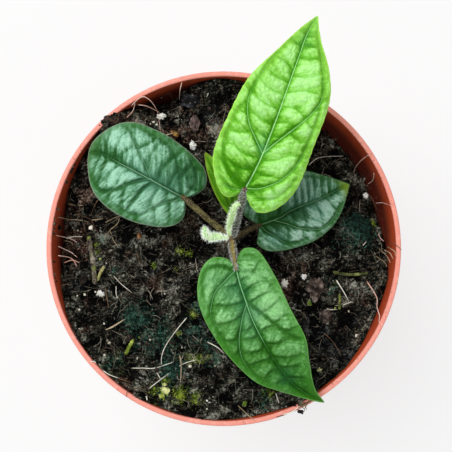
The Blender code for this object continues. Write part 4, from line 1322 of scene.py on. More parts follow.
def make_crumbs(settings, pot_settings):
    """Loose crumbs of peat and rotted bark that lie on the surface."""
    tree = ground_tree()
    generator = random.Random(SEEDS["crumbs"])
    heaped = [(x, y, spread) for x, y, spread, count in HEAPS for _ in range(count)]
    kinds = [
        ("peat_crumbs", settings.crumbs * 3, 0.22, 0.75, 1, peat_finish("crumb_peat"), "soil"),
        ("bark_crumbs", settings.crumbs // 4, 0.3, 0.9, 2, bark_finish("crumb_bark"), "bark"),
    ]
    for number, (name, count, least, spread, detail, finish, slot) in enumerate(kinds):
        places, sizes = [], []
        for crumb in range(count):
            size = (least + spread * generator.random() ** 3) * MM
            x, y = random_spot(generator)
            if crumb < len(heaped) and detail == 1:
                middle_x, middle_y, reach = heaped[crumb]
                x, y = (generator.gauss(value, reach) * MM for value in (middle_x, middle_y))
            level = ground_height(tree, x, y)
            furthest = RIM_RADIUS - 0.8 * MM
            if crumb >= RIM_CRUMBS:
                furthest = float(inner_radius(level, pot_settings)) - size
            shrink = min(1, furthest / math.hypot(x, y))
            x, y = x * shrink, y * shrink
            level = ground_height(tree, x, y)
            if math.hypot(x, y) > WALL_TOP_RADIUS:
                level = RIM_HEIGHT
                size *= 1.5
            places.append((x, y, level + size * 0.15))
            sizes.append(size)
        bm = scatter_lumps(places, sizes, number, 1.0, detail)
        piece(name, bm, [finish], smooth=False)


def bark_finish(name, dark="0A0807", mid="241D19", light="4E443C"):
    """Damp rotted bark: dark, with paler worn ridges."""
    kit = Finish(name, Specular_IOR_Level=0.1)
    patches = kit.noise(260, 5, 0.7)
    grain = kit.noise(1, 3, 0.6, kit.stretched((2200, 500, 900), 0.5))
    colour = kit.blend_stops(patches, [(0.38, dark), (0.5, mid), (0.62, light)])
    colour = kit.mix(kit.ramp(grain, 0.55, 0.7) * 0.5, colour, light)
    colour = kit.mix(kit.ramp(kit.noise(900, 3), 0.6, 0.68) * 0.5, colour, "A0928A")
    return kit.finish(colour, 0.75 - grain * 0.25, grain * 0.6 + patches * 0.4, 0.5 * MM)


def fibre_finish(name, dark, light):
    """Dry or rotting plant fibre."""
    kit = Finish(name, Specular_IOR_Level=0.15)
    shift = kit.noise(140, 3, 0.6)
    colour = kit.mix(kit.ramp(shift, 0.35, 0.65), dark, light)
    fine = kit.noise(1800, 2)
    return kit.finish(colour, 0.6 + fine * 0.2, fine, 0.05 * MM)


FIBRE_POINTS = 9


def fibre_route(tree, generator, start, length, radius, rise):
    """One curved fibre that wanders over the surface and lifts off it here and there."""
    heading = generator.random() * math.tau
    bend = generator.uniform(-1.3, 1.3) / length
    x, y = start
    hump = generator.uniform(0, rise)
    route = []
    for number in range(FIBRE_POINTS):
        share = number / (FIBRE_POINTS - 1)
        ground = ground_height(tree, x, y)
        lift = radius * 0.7 + hump * math.sin(share * math.pi) + 0.25 * MM * generator.random()
        route.append((x, y, min(ground + lift, RIM_HEIGHT + 1.2 * MM)))
        step = length / (FIBRE_POINTS - 1)
        heading += bend * step + generator.uniform(-0.14, 0.14)
        x += math.cos(heading) * step
        y += math.sin(heading) * step
        spare = (WALL_TOP_RADIUS - 1.2 * MM) / max(math.hypot(x, y), 1e-6)
        x *= min(1, spare)
        y *= min(1, spare)
    smooth = smooth_through(route, FIBRE_POINTS + 3)
    taper = radius * (1 - 0.6 * np.linspace(0, 1, len(smooth)) ** 2)
    taper[0] = taper[-1] = radius * 0.15
    return smooth, taper


def tangled_spot(generator):
    """A random place over the soil, more often where the rootlets are dense."""
    while True:
        x, y = random_spot(generator)
        if noise.noise(Vector((x, y, 0)) / MM * 0.13) > generator.uniform(-0.45, 0.45):
            return x, y


def make_fibres(settings):
    """Fine brown rootlets, tan threads and pale straws, in one piece each."""
    tree = ground_tree()
    generator = random.Random(SEEDS["fibres"])
    kinds = [
        ("brown_fibres", settings.fibres // 2, 0.075, 5, 0.6, "2A241C", "7A6E60"),
        ("tan_fibres", settings.fibres // 3, 0.075, 5, 0.9, "66604E", "B2AC98"),
        ("pale_straws", settings.fibres // 16, 0.1, 4, 1.0, "A89A84", "E0D6C4"),
    ]
    for name, count, radius, length, rise, dark, light in kinds:
        laid = []
        for _ in range(count):
            size = length * MM * generator.uniform(0.35, 1.4)
            thick = radius * MM * generator.uniform(0.6, 1.4)
            laid.append(fibre_route(tree, generator, tangled_spot(generator), size, thick, rise * MM))
        bm = rolled_tubes(*zip(*laid), 3)
        piece(name, bm, [fibre_finish(name, dark, light)])


# Straws and roots that stand out, of four tints. Each tint has its dark and light colour and its radius, and
# each straw the x, y and in places the height of its points, all in millimetres.
STRAWS = {
    "cream": ("C4BCAA", "FCF8EC", 0.2, [
        [(-25.9, -48), (-21.2, -44.9), (-14.5, -40.5), (-9.5, -38.7)],
        [(-31.8, -41.2), (-27.9, -41.4), (-23.8, -41.4), (-17.6, -39.6)],
        [(-12.8, -24), (-17, -29.2), (-20.4, -34.3), (-21.6, -38), (-21.5, -40.4)],
        [(-45.1, -37.8, 95.6), (-42.4, -40.2, 93.5), (-39, -42.3), (-35.6, -43.9)],
        [(-23.4, -42.5), (-21.8, -45.1)], [(-5.8, -32.7), (-2.4, -34.4), (0, -36.5)],
        [(39.2, -11.1), (41.5, -14.9), (43.8, -18.9)], [(35.9, -21.2), (37.6, -21.5), (39.7, -21.5)],
        [(-38.2, -9.7), (-35.7, -12.5), (-31.9, -15.6)], [(-37.5, -13.2), (-37.6, -15.9), (-36.9, -17.5)],
        [(29.8, 29), (32.4, 31.2), (35.7, 32.2), (43.1, 32.8)], [(-26.3, -49.9), (-25.6, -52.9)],
        [(41.5, -20), (43.8, -18.9), (45, -18.8)], [(17.9, -49.8), (18.8, -52.8)],
        [(-5.3, 53.4), (-5.9, 52.2)], [(-55.7, 3.2), (-53, 3.9), (-49.2, 4)], [(48.7, 0.8), (52.2, 4.3)],
        [(20, -55.9, 95.7), (22.9, -54.9, 96), (25.6, -52.8, 96.4)],
    ]),
    "tan": ("8A785A", "CCBA9C", 0.16, [
        [(-57.1, 10.8, 91), (-53.9, 9.9), (-51.5, 9.9), (-47.1, 9.2)],
        [(-15.4, -37.1), (-14.8, -40.5), (-14.9, -46.5)], [(-41.2, 8.9), (-38.5, 10.3), (-35.9, 11.2)],
        [(-36.2, 10.5), (-37.1, 8.4), (-39.5, 6.3), (-41.3, 3.5)], [(-39.5, 6), (-38.5, 2.8), (-36.8, 0.6)],
        [(-40, -27.9), (-34.3, -24.6)], [(-41.1, -28.3), (-38.4, -27.3), (-34.6, -24.9)],
        [(-21.1, 38.8), (-17, 40)], [(4.8, -53.8), (7.7, -56.2), (10.2, -57.7, 96.2)],
        [(-54.3, 15.4), (-51.6, 14.9), (-48.6, 14.8)], [(-56.4, 2.5), (-54.4, 2.1), (-53, 1.3)],
        [(-46, 9.8), (-44, 9.9), (-41.9, 10.3)], [(55.3, -0.5, 89), (56.8, -1.6, 92), (57.6, -3.6, 93)],
        [(54.6, -0.2), (56, -2.6, 90), (57, -5, 92)], [(56, 0.6, 91), (57.8, -0.8, 94), (58.4, -2.6, 95)],
        [(53.4, -3), (55.4, -4.6, 88), (56.2, -6.4, 90)],
        [(24.8, -53.6, 95.8), (27.2, -52.3, 96.3), (29.9, -51, 95.8)],
        [(25.4, -52.4, 95.6), (27.6, -51.8, 96.5), (29.6, -50.6, 96.1)],
        [(25.8, -53.8, 95.8), (28.4, -51.8, 96.5), (30.2, -50.2, 95.8)],
        [(27.2, -54, 95.4), (28.2, -52, 96.4), (29, -50, 95.9)],
        [(26, -51.2, 95.2), (27.4, -52.8, 96.4), (28, -54.4, 95.6)],
    ]),
    "brown": ("3E2C20", "84684E", 0.15, [
        [(-51.8, 11.8), (-48.1, 10.8), (-46, 9.8), (-45, 7.7), (-43.4, 4.9)],
        [(-43.2, 17.4), (-44.6, 15), (-46, 11.7)], [(-44.6, 11.2), (-41.9, 12.2), (-38.8, 12.6)],
        [(-30.2, -1.4), (-29.2, -4.8), (-27.4, -6.2)], [(-56.9, -13), (-53.9, -12.4)],
        [(-32.2, 47.2), (-32.5, 42.8)], [(-28.2, 46), (-26.5, 41.2)], [(-30.5, 49.5), (-24.6, 48.8)],
        [(41.8, 11.3), (44.9, 14.3)], [(51.8, 19.1), (53.3, 16.3), (55.1, 10.8)],
        [(53.2, -11.5), (55.4, -17.5)], [(34.8, -29.5), (38.2, -32.9), (40.5, -37.3)],
        [(-35.6, -43.9), (-30.5, -45.9)], [(25, -53, 96), (27.6, -51.8, 96.6), (29.9, -50.6, 96)],
        [(17.6, -56.8, 95.4), (20.6, -55.9, 95.5), (24.2, -54, 95.9)],
        [(25.2, -52, 95.4), (27, -53.8, 96.4), (27.2, -54.8, 95.8)],
        [(-41.2, -13.8), (-40.5, -17.3), (-40, -20.7)],
        [(56.8, 2, 93), (58.1, 1.3, 95.4), (60, -0.4, 95.5)],
        [(-26.2, -47.9), (-31, -47.3, 94.5), (-32.6, -48.3, 95.4), (-32.8, -50, 95.6)],
    ]),
    "rosy": ("DCA892", "FFE8DC", 0.17, [
        [(-31.6, 48.2, 93.5), (-29.1, 50.4, 95.2), (-27.1, 51.3, 95.6), (-24.9, 50.2, 94.5),
         (-23.2, 47.9, 92), (-22.5, 45.2), (-21.9, 40.1)],
        [(-29.4, 49.1, 92), (-26.2, 48.7, 91), (-22.2, 47.1)],
        [(-33, 44.5), (-31, 46.8, 93), (-30, 49.2, 94.5)],
        [(-14.1, 56.3, 95), (-14.9, 54.1, 92), (-15.7, 52)],
        [(50.2, 32.4, 95), (48.6, 31.4, 92), (47, 29.8, 88), (46.9, 28.2), (46.4, 26.6)],
        [(52.8, 26.6, 90), (53.3, 25.7, 88), (53.1, 24.4, 85), (53.3, 23.5)],
        [(53.9, 15.8), (55.1, 15.8, 86), (56.4, 15.3, 91), (58.1, 15, 95.4)],
        [(54.8, 4.9), (55.6, 3.4), (56.6, 2.2)],
        [(49.8, -11.4), (53, -17), (52.8, -20.6, 90), (54, -26, 95.3)],
        [(-57, 4.5, 93), (-54, 3.2), (-50.5, 1.6)], [(-56.6, 0.8, 92), (-53.4, -1.5), (-50.9, -3.2)],
        [(-56.8, -2.4, 91), (-53.2, -3.6), (-51, -6.4)], [(-55.9, -5.2), (-52.9, -4.2), (-50.2, -5.1)],
    ]),
}
STRAW_RINGS = 22


def straw_route(tree, generator, points, radius, pot_settings):
    """A smooth route over the soil, and up the wall where its points have a height."""
    lifted = []
    for x, y, *height in points:
        ground = ground_height(tree, x * MM, y * MM) / MM
        lifted.append((x, y, height[0] if height else ground + generator.uniform(0.3, 1.3)))
    route = smooth_through(lifted, STRAW_RINGS) * MM
    for place in route:
        ground = ground_height(tree, place[0], place[1])
        reach = math.hypot(place[0], place[1])
        if place[2] < RIM_HEIGHT:
            place[:2] *= min(1, (float(inner_radius(place[2], pot_settings)) - radius * 1.3) / reach)
        if reach < WALL_TOP_RADIUS:
            place[2] = max(place[2], ground + radius * 0.6)
    return route


def make_straws(pot_settings):
    """The straws and roots that stand out, a piece for each tint."""
    tree = ground_tree()
    generator = random.Random(SEEDS["straws"])
    taper = 1 - 0.45 * np.linspace(0, 1, STRAW_RINGS) ** 1.5
    taper[0] = taper[-1] = 0.15
    for name, (dark, light, radius, straws) in STRAWS.items():
        routes = [straw_route(tree, generator, points, radius * MM, pot_settings) for points in straws]
        radii = [taper * radius * MM * generator.uniform(0.75, 1.1) for _ in straws]
        finish = fibre_finish(name + "_straws", dark, light)
        piece(name + "_straws", rolled_tubes(routes, radii, 8), [finish])


# ---- what lies on the soil ----


def lump_mesh(low, high, number, detail, roughness, frequency, ridged=False):
    """An uneven lump that fills the box between two corners."""
    bm = bmesh.new()
    bmesh.ops.create_icosphere(bm, subdivisions=detail, radius=1)
    shift = Vector((number * 5.3, 1.7, 0))
    for vertex in bm.verts:
        place = vertex.co * frequency + shift
        swell = noise.fractal(place, 0.9, 2.2, 4)
        if ridged:
            near, far = noise.voronoi(place * 0.8)[0][:2]
            swell = swell * 0.5 + (far - near) * 0.9 - 0.4
        vertex.co *= 1 + roughness * swell
    places = np.array([vertex.co for vertex in bm.verts])
    middle = (np.array(low) + np.array(high)) / 2
    span = places.max(0) - places.min(0)
    places = (places - (places.max(0) + places.min(0)) / 2) / span * (np.array(high) - np.array(low)) + middle
    move_all(bm, places)
    return bm


def perlite_finish(name, growth):
    """Puffed mineral grains: chalky white and pitted, with algae over a share of them."""
    kit = Finish(name, Specular_IOR_Level=0.2)
    pits = kit.cells(1500)
    cloudy = kit.noise(500, 3)
    colour = kit.mix(kit.ramp(cloudy, 0.4, 0.6), "FFFFFC", "EAE8DC")
    # Painted shade: darker in the pits.
    colour = kit.mix(kit.ramp(pits, 0.35, 0.1) * 0.5, colour, "8E8872")
    colour = kit.mix(kit.ramp(kit.noise(900, 2), 0.62, 0.72) * 0.5, colour, "6E6450")
    if growth:
        green = kit.ramp(kit.noise(330, 3, 0.6), 0.66 - growth * 0.3, 0.78 - growth * 0.3)
        algae = kit.mix(kit.ramp(cloudy, 0.4, 0.58), "94AC36", "F0F0A4")
        colour = kit.mix(green * 0.9, colour, algae)
    return kit.finish(colour, 0.8 + cloudy * 0.1, pits, 0.25 * MM)


def moss_finish(name, dark, light):
    """Moss, darker and lighter in small patches."""
    kit = Finish(name, Specular_IOR_Level=0.12)
    cloudy = kit.noise(900, 3, 0.7)
    colour = kit.mix(kit.ramp(cloudy, 0.42, 0.64), dark, light)
    return kit.finish(colour, 0.8 + cloudy * 0.1, kit.noise(1600, 3), 0.3 * MM)


def matching(start):
    return sorted(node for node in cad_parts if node.startswith(start))


OVERGROWN = {"perlite_4": 0.4, "perlite_6": 0.4, "perlite_7": 1.2, "perlite_9": 0.8}  # share under algae
BARK_TINTS = {
    "bark_chip_1": ("030304", "121214", "3A3C40"), "bark_chip_2": ("3A2C28", "786560", "B4A29A"),
    "bark_chip_3": ("16100E", "4C3E38", "92847C"), "bark_chip_4": ("120E0C", "3E322E", "7C6E68"),
}
CUSHION_FLATNESS = 0.55  # height of a dressed cushion, as a share of its solid's


def make_lumps():
    """The grains, chips and cushions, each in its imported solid's box."""
    moss = moss_finish("moss_cushions", "040A08", "1C3A31")
    for number, node in enumerate(matching("perlite_")):
        bm = lump_mesh(*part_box(node), number, 4, 1.0, 1.7, ridged=True)
        finish = perlite_finish(node + "_chalk", OVERGROWN.get(node, 0))
        piece(node + "_grain", bm, [finish], [node])
    for number, node in enumerate(matching("bark_chip_")):
        bm = lump_mesh(*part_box(node), number + 30, 5, 0.6, 1.3, ridged=number > 0)
        finish = bark_finish(node + "_bark", *BARK_TINTS[node])
        piece(node + "_worn", bm, [finish], [node])
    for number, node in enumerate(matching("moss_cushion_")):
        low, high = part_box(node)
        high.z = low.z + (high.z - low.z) * CUSHION_FLATNESS
        bm = lump_mesh(low, high, number + 60, 5, 0.4, 2.6, ridged=True)
        piece(node + "_body", bm, [moss], [node])


# Where moss grows: x, y and spread in millimetres
DARK_MOSS = [
    (-9, -21, 4), (-6, -34, 5), (-38, -8, 3), (40, 14, 4), (12, -44, 5), (-22, -50, 5), (-22, -31, 6),
    (-29, -25, 6), (-16, -41, 6), (46, 8, 5), (-36, -39, 4), (14, -52, 5), (-10, -28, 3),
]
BRIGHT_MOSS = [
    (-20.2, -45.8, 1.8), (-21.2, -49.6, 2.2), (-24.2, -48.4, 1.6), (-15, -50.4, 3.4), (-9.6, -51.6, 2.4),
    (-15.5, -1.2, 1.9), (-12, -1.9, 1.5), (-24.3, -6.2, 1.2), (-16.8, -7.2, 0.8), (-10.7, -22.9, 1.6),
    (-15.9, -29.5, 1), (-8.3, -38.5, 1.6), (-44.5, 1.2, 0.9), (-43.9, -1.5, 0.9), (53, 8.7, 1.5),
    (15.5, -50.5, 2.2),
]


def make_moss():
    """Feathery dark fronds on the cushions and in the film around them, and tufts of bright new growth."""
    tree = ground_tree()
    generator = random.Random(SEEDS["moss"])
    cushions = [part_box(node) for node in matching("moss_cushion_")]
    dark = [
        ((low.x + high.x) / 2 / MM, (low.y + high.y) / 2 / MM, (high.x - low.x) * 0.6 / MM)
        for low, high in cushions
    ]
    kinds = [
        ("moss_leaves", dark * 5 + DARK_MOSS, 4, (0.9, 2.8), 0.11, 2.2, "0A1C17", "5C907A"),
        ("moss_bright", BRIGHT_MOSS, 55, (0.4, 1.3), 0.13, 1.0, "46640E", "C4D656"),
    ]
    for name, patches, crowd, (shortest, longest), radius, lean, low, high in kinds:
        spots, directions, lengths = [], [], []
        for middle_x, middle_y, spread in patches:
            for _ in range(int(crowd * spread**2)):
                distance = spread * abs(generator.gauss(0, 0.5)) * MM
                angle = generator.random() * math.tau
                x, y = middle_x * MM + distance * math.cos(angle), middle_y * MM + distance * math.sin(angle)
                if math.hypot(x, y) > WALL_TOP_RADIUS - 1.5 * MM:
                    continue
                spots.append((x, y, ground_height(tree, x, y) - 0.1 * MM))
                directions.append(unit(np.array((generator.gauss(0, lean), generator.gauss(0, lean), 1))))
                lengths.append(generator.uniform(shortest, longest) * MM)
        bm = spikes(spots, directions, lengths, radius * MM)
        piece(name, bm, [moss_finish(name, low, high)], smooth=False)


def bark_of_twig(name, dark, mid, light, green):
    """Weathered stick: streaked, with green growth over that share of it."""
    kit = Finish(name + "_finish", Specular_IOR_Level=0.15)
    cloudy = kit.noise(420, 4, 0.65)
    colour = kit.blend_stops(cloudy, [(0.36, dark), (0.5, mid), (0.64, light)])
    colour = kit.mix(kit.ramp(kit.noise(1700, 3, 0.6), 0.54, 0.62) * 0.6, colour, light)
    growth = kit.ramp(kit.noise(330, 5, 0.7), 0.62 - green * 0.2, 0.7 - green * 0.2)
    colour = kit.mix(growth * 0.8, colour, kit.mix(cloudy, "3E5212", "A4B44A"))
    ridges = kit.noise(1, 2, 0.5, kit.stretched((900, 3000, 900)))
    return kit.finish(colour, 0.85 - cloudy * 0.1, ridges * 0.5 + cloudy * 0.5, 0.35 * MM)


@dataclass
class Twig:
    """A stick on the soil."""

    route: list  # x and y in millimetres
    radius: float  # millimetres
    colours: tuple  # dark, middle and light
    green: float  # the share of it that is grown over
    stands_for: str = ""


TWIGS = {
    "grey_twig": Twig(
        [(-46.8, 4.2), (-46.2, -0.5), (-45.4, -5), (-44.6, -12.6)], 0.8,
        ("1E1814", "5A5044", "A8A090"), 0.5, "twig_1"),
    "olive_twig": Twig(
        [(38, -8.3), (44, -9.3), (50.5, -8.8)], 0.5, ("1E2410", "4A5428", "8C9060"), 0.2, "twig_2"),
    "green_twig": Twig(
        [(-34, -36.6), (-32.6, -34), (-31.4, -31.6)], 0.6, ("3E4E12", "7E9430", "C0CC6A"), 0.5, "twig_3"),
    "pale_stick": Twig(
        [(-44, -11.4), (-42.9, -8.6), (-41.6, -6.2)], 0.5, ("56522C", "9A9458", "CCC890"), 0.2),
    "upright_stick": Twig(
        [(40.4, -16), (40.5, -19), (40.4, -21.5)], 0.42, ("36401A", "626E30", "98A052"), 0.4),
}
TWIG_RINGS, TWIG_SIDES = 34, 22


def make_twigs():
    """The sticks on the soil, thicker and thinner along their length."""
    for number, (name, twig) in enumerate(TWIGS.items()):
        points = [
            (x, y, soil_level(x * MM, y * MM) / MM + twig.radius * 0.6, twig.radius) for x, y in twig.route
        ]
        route, radii = tube_points(points, TWIG_RINGS)
        knots = [noise.noise((number * 9, place * 0.35, 0)) for place in range(TWIG_RINGS)]
        radii *= 1 + 0.3 * np.array(knots)
        radii[0] = radii[-1] = twig.radius * 0.3 * MM

        def section(share, angle):
            return 1 + 0.12 * np.sin(angle * 3 + share * 9) + 0.06 * np.sin(angle * 7 - share * 20)

        bm = rolled_tubes([route], [radii], TWIG_SIDES, section)
        finish = bark_of_twig(name, *twig.colours, twig.green)
        piece(name, bm, [finish], [twig.stands_for] if twig.stands_for else ())


# Pale grains too small to be solids: x, y and radius in millimetres
WHITE_SPECKS = [
    (-46.1, 7, 0.77), (-50.7, 6.1, 0.35), (-40.9, -5.2, 0.45), (-39.5, -9.5, 0.49), (-48.4, -16.2, 0.66),
    (-50.7, -16.5, 0.32), (-44.6, -15.2, 0.35), (-49.8, -21.1, 0.63), (-41.6, -26.2, 0.52),
    (-50.6, -25.4, 0.28), (-49.2, -27.3, 0.32), (-39.6, -32.7, 0.7), (-40.3, -32, 0.52),
    (-40.7, -36.3, 0.63), (-36.6, -37.9, 0.35), (-30, -38.2, 0.45), (-25.6, -31.9, 0.42),
    (-18.7, -24, 0.35), (-13.5, -34.7, 0.35), (-11.7, -41.2, 0.66), (-3, -40.9, 0.35), (47.9, 10.5, 0.35),
    (41.8, 14, 0.45), (30.9, -1.7, 0.35), (32.8, -14.2, 0.52), (43.7, -22.2, 0.35), (36.2, -26.4, 0.52),
    (45.9, -30.2, 0.52), (-14.5, -34.7, 0.28), (-5.7, -54.7, 0.35), (-16.2, 36.1, 0.6), (-12.8, 51.3, 0.3),
    (-24.3, 43.6, 0.7), (-23.2, 42.8, 0.5), (-25.3, 42.9, 0.4),
]
# Bits of other kinds, given in the same way
GREEN_BITS = [
    (30, -19.2, 1), (7.2, -53.3, 0.9), (-24.6, -5.6, 0.5), (-20.6, -47.4, 0.6), (-43, -3.8, 0.7),
    (-29.4, -31, 0.4), (38.9, -21, 0.4), (-10.7, -22.9, 0.7),
]
RIM_CLODS = [(26.2, -55.2, 0.8), (-39.9, 43, 1.3), (-38.6, 43.4, 1.6), (-37.2, 44, 1.3), (-36.4, 43.2, 1.6)]
YELLOW_BITS = [(-21.2, -50.6, 1.2), (-20.9, -48.8, 1), (-20.6, -47.2, 0.8), (-19.6, -50, 0.8)]
ODD_BITS = {
    "bark_flake": ((-29.2, 4.2, 1), "B8885A"), "rusty_bit": ((-16.8, 39.8, 1.1), "B08A48"),
}
TINY_SPECKS = 90
SMOOTH_BIT, ROUGH_BIT = (0.6, 2), (1.1, 3)  # roughness and detail of most bits, and of bark and peat


def bit_finish(name, dark, light):
    """Grains and flakes of one kind."""
    kit = Finish(name, Specular_IOR_Level=0.2)
    shift = kit.noise(500, 3)
    colour = kit.mix(kit.ramp(shift, 0.38, 0.62), dark, light)
    return kit.finish(colour, 0.75 + shift * 0.1, kit.noise(1500, 3), 0.15 * MM)


def make_bits():
    """White and yellow-green specks, and the few odd bits among them."""
    tree = ground_tree()
    generator = random.Random(SEEDS["bits"])
    tiny = []
    for _ in range(TINY_SPECKS):
        x, y = random_spot(generator, 0.95)
        tiny.append((x / MM, y / MM, generator.uniform(0.12, 0.26)))
    kinds = {
        "white_specks": (WHITE_SPECKS + tiny, ("B4AE98", "F2EEDC"), "perlite"),
        "green_bits": (GREEN_BITS, ("4E6A1E", "B4C46A"), "moss"),
        "yellow_bits": (YELLOW_BITS, ("8A9C30", "F6F4B4"), "moss"),
        "rim_clods": (RIM_CLODS, ("0A0604", "4A382E"), "soil"),
    }
    for name, (bit, code) in ODD_BITS.items():
        kinds[name] = ([bit], ("5A3420", code), "bark")
    for number, (name, (bits, colours, slot)) in enumerate(kinds.items()):
        places = []
        for x, y, radius in bits:
            on_rim = math.hypot(x, y) * MM > WALL_TOP_RADIUS
            level = RIM_HEIGHT if on_rim else ground_height(tree, x * MM, y * MM)
            places.append((x * MM, y * MM, level + radius * 0.4 * MM * (slot != "soil")))
        sizes = [radius * MM for _, _, radius in bits]
        roughness, detail = ROUGH_BIT if slot in ("bark", "soil") else SMOOTH_BIT
        bm = scatter_lumps(places, sizes, number + 7, roughness, detail)
        piece(name, bm, [bit_finish(name, *colours)])


# ---- stage ----

SENSOR = 36  # the camera's sensor width in millimetres, as Blender has it by default
VIEW_CENTRE = (0.77 * MM, 7.69 * MM)
FLOOR_SIZE = 3  # half the floor's width, and below each lamp's width and place, in metres
KEY_WIDTH, KEY_PLACE = 0.75, (-0.4, 0.36, 1.0)
FILL_WIDTH, FILL_PLACE = 0.9, (0.7, -0.5, 0.9)
FILL_SHARE = 0.15  # the fill's power beside the key's
AMBIENT = 0.36  # strength of the world's light
FLOOR_WHITENESS = 0.72  # how far the floor looks white to the camera, whatever light falls on it


def make_stage(settings):
    """Camera, pale floor and soft light from overhead."""
    scene = bpy.context.scene
    camera = bpy.data.cameras.new("camera")
    camera.sensor_width = SENSOR
    camera.lens = SENSOR * settings.camera_height / settings.view_width
    camera.clip_start = 0.01
    camera_object = bpy.data.objects.new("camera", camera)
    camera_object.location = (*VIEW_CENTRE, RIM_HEIGHT + settings.camera_height)
    scene.collection.objects.link(camera_object)
    scene.camera = camera_object

    bm = bmesh.new()
    bmesh.ops.create_grid(bm, x_segments=2, y_segments=2, size=FLOOR_SIZE)
    floor = object_of("floor", bm)
    floor.data.materials.append(floor_finish())

    add_lamp("key", settings.key_power, KEY_WIDTH, KEY_PLACE)
    add_lamp("fill", settings.key_power * FILL_SHARE, FILL_WIDTH, FILL_PLACE)
    world = bpy.data.worlds.new("studio")
    scene.world = world
    world.use_nodes = True
    tree = world.node_tree
    path = tree.nodes.new("ShaderNodeLightPath")
    seen = path.outputs["Is Camera Ray"]
    for ray in ("Is Glossy Ray", "Is Transmission Ray"):
        either = tree.nodes.new("ShaderNodeMath")
        either.operation = "MAXIMUM"
        tree.links.new(seen, either.inputs[0])
        tree.links.new(path.outputs[ray], either.inputs[1])
        seen = either.outputs[0]
    strength = tree.nodes.new("ShaderNodeMapRange")
    strength.inputs["To Min"].default_value = AMBIENT
    strength.inputs["To Max"].default_value = 1
    tree.links.new(seen, strength.inputs["Value"])
    tree.links.new(strength.outputs[0], tree.nodes["Background"].inputs["Strength"])
    tree.nodes["Background"].inputs["Color"].default_value = (1, 1, 1, 1)
    scene.view_settings.view_transform = "Standard"


def floor_finish():
    """Pale floor that takes a soft shadow and looks white to the camera."""
    kit = Finish("floor", Roughness=0.9, Specular_IOR_Level=0.1)
    kit.shader.inputs["Base Color"].default_value = (0.9, 0.9, 0.9, 1)
    path = kit.add("ShaderNodeLightPath", {}, {}, "Is Camera Ray")
    glossy = Wire(kit, path.socket.node.outputs["Is Glossy Ray"])
    clear = Wire(kit, path.socket.node.outputs["Is Transmission Ray"])
    white = kit.add("ShaderNodeEmission", {}, {"Color": (1, 1, 1), "Strength": 1})
    share = (path + glossy + clear).clamped() * FLOOR_WHITENESS
    mixed = kit.add("ShaderNodeMixShader", {}, {0: share})
    kit.tree.links.new(kit.shader.outputs[0], mixed.socket.node.inputs[1])
    kit.tree.links.new(white.socket, mixed.socket.node.inputs[2])
    kit.tree.links.new(mixed.socket, kit.tree.nodes["Material Output"].inputs["Surface"])
    return kit.material


def add_lamp(name, power, size, place):
    """A square softbox that looks at the plant."""
    light = bpy.data.lights.new(name, "AREA")
    light.energy = power
    light.size = size
    lamp = bpy.data.objects.new(name, light)
    lamp.location = place
    aim = Vector((0, 0, RIM_HEIGHT)) - lamp.location
    lamp.rotation_euler = aim.to_track_quat("-Z", "Y").to_euler()
    bpy.context.scene.collection.objects.link(lamp)


# ---- operators ----


class PiperOperator:
    """What the operators share: each hands the scene's settings to its own make."""

    bl_options = {"REGISTER", "UNDO"}

    def execute(self, context):
        self.make(context.scene.piper)
        return {"FINISHED"}


class PIPER_OT_stage(PiperOperator, bpy.types.Operator):
    """Set the camera, the floor and the lights"""

    bl_idname = "piper.stage"
    bl_label = "Stage"

    def make(self, settings):
        make_stage(settings.stage)


class PIPER_OT_pot(PiperOperator, bpy.types.Operator):
    """Turn the pot with its lip, collar and drain holes"""

    bl_idname = "piper.pot"
    bl_label = "Pot"

    def make(self, settings):
        make_pot(settings.pot)


class PIPER_OT_soil(PiperOperator, bpy.types.Operator):
    """Raise the clods of the soil's surface"""

    bl_idname = "piper.soil"
    bl_label = "Soil"

    def make(self, settings):
        make_soil(settings.pot)


class PIPER_OT_litter(PiperOperator, bpy.types.Operator):
    """Lay the crumbs, grains, chips, twigs and algae on the soil"""

    bl_idname = "piper.litter"
    bl_label = "Litter"

    def make(self, settings):
        make_lumps()
        make_twigs()
        make_crumbs(settings.soil, settings.pot)
        make_bits()


class PIPER_OT_fibres(PiperOperator, bpy.types.Operator):
    """Lay the fibres, straws and rootlets on the soil and the wall"""

    bl_idname = "piper.fibres"
    bl_label = "Fibres"

    def make(self, settings):
        make_fibres(settings.soil)
        make_straws(settings.pot)


class PIPER_OT_moss(PiperOperator, bpy.types.Operator):
    """Plant the moss"""

    bl_idname = "piper.moss"
    bl_label = "Moss"

    def make(self, settings):
        make_moss()


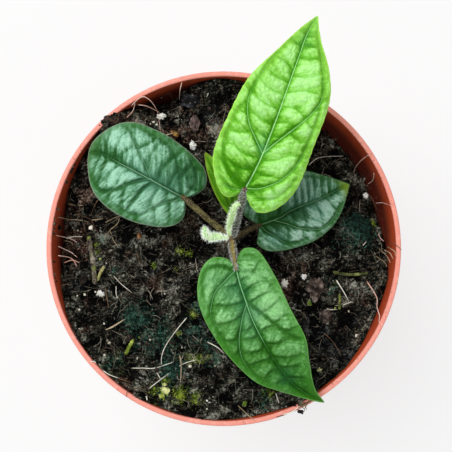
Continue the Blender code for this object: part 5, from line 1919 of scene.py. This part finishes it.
class PIPER_OT_stalks(PiperOperator, bpy.types.Operator):
    """Grow the stem, the leaf stalks, the shoots and their hairs"""

    bl_idname = "piper.stalks"
    bl_label = "Stalks"

    def make(self, settings):
        for seed, (name, stalk) in enumerate(STALKS.items(), 1):
            make_stalk(name, stalk, seed, settings.stalk)


class PIPER_OT_leaves(PiperOperator, bpy.types.Operator):
    """Spread the quilted leaf blades"""

    bl_idname = "piper.leaves"
    bl_label = "Leaves"

    def make(self, settings):
        for blade in BLADES:
            make_blade(blade, settings.leaf)


OPERATORS = (
    PIPER_OT_stage, PIPER_OT_pot, PIPER_OT_soil, PIPER_OT_litter,
    PIPER_OT_fibres, PIPER_OT_moss, PIPER_OT_stalks, PIPER_OT_leaves,
)


class PIPER_PT_panel(bpy.types.Panel):
    """The plant's pieces and their settings"""

    bl_idname = "PIPER_PT_panel"
    bl_label = "Potted Piper Plant"
    bl_space_type = "VIEW_3D"
    bl_region_type = "UI"
    bl_category = "Piper"

    def draw(self, context):
        settings = context.scene.piper
        for operator in OPERATORS:
            self.layout.operator(operator.bl_idname)
        for name in ("pot", "leaf", "soil", "stalk", "stage"):
            group = getattr(settings, name)
            box = self.layout.box()
            box.label(text=name.capitalize())
            for prop in group.bl_rna.properties:
                if not prop.is_readonly and prop.identifier != "name":
                    box.prop(group, prop.identifier)


CLASSES = (
    PotSettings, LeafSettings, SoilSettings, StalkSettings, StageSettings, PiperSettings,
    *OPERATORS, PIPER_PT_panel,
)


def register():
    for cls in CLASSES:
        bpy.utils.register_class(cls)
    bpy.types.Scene.piper = PointerProperty(type=PiperSettings)


def unregister():
    del bpy.types.Scene.piper
    for cls in reversed(CLASSES):
        bpy.utils.unregister_class(cls)


def main():
    register()
    bpy.ops.piper.stage()
    bpy.ops.piper.pot()
    bpy.ops.piper.soil()
    bpy.ops.piper.litter()
    bpy.ops.piper.fibres()
    bpy.ops.piper.moss()
    bpy.ops.piper.stalks()
    bpy.ops.piper.leaves()


if __name__ == "__main__":
    main()
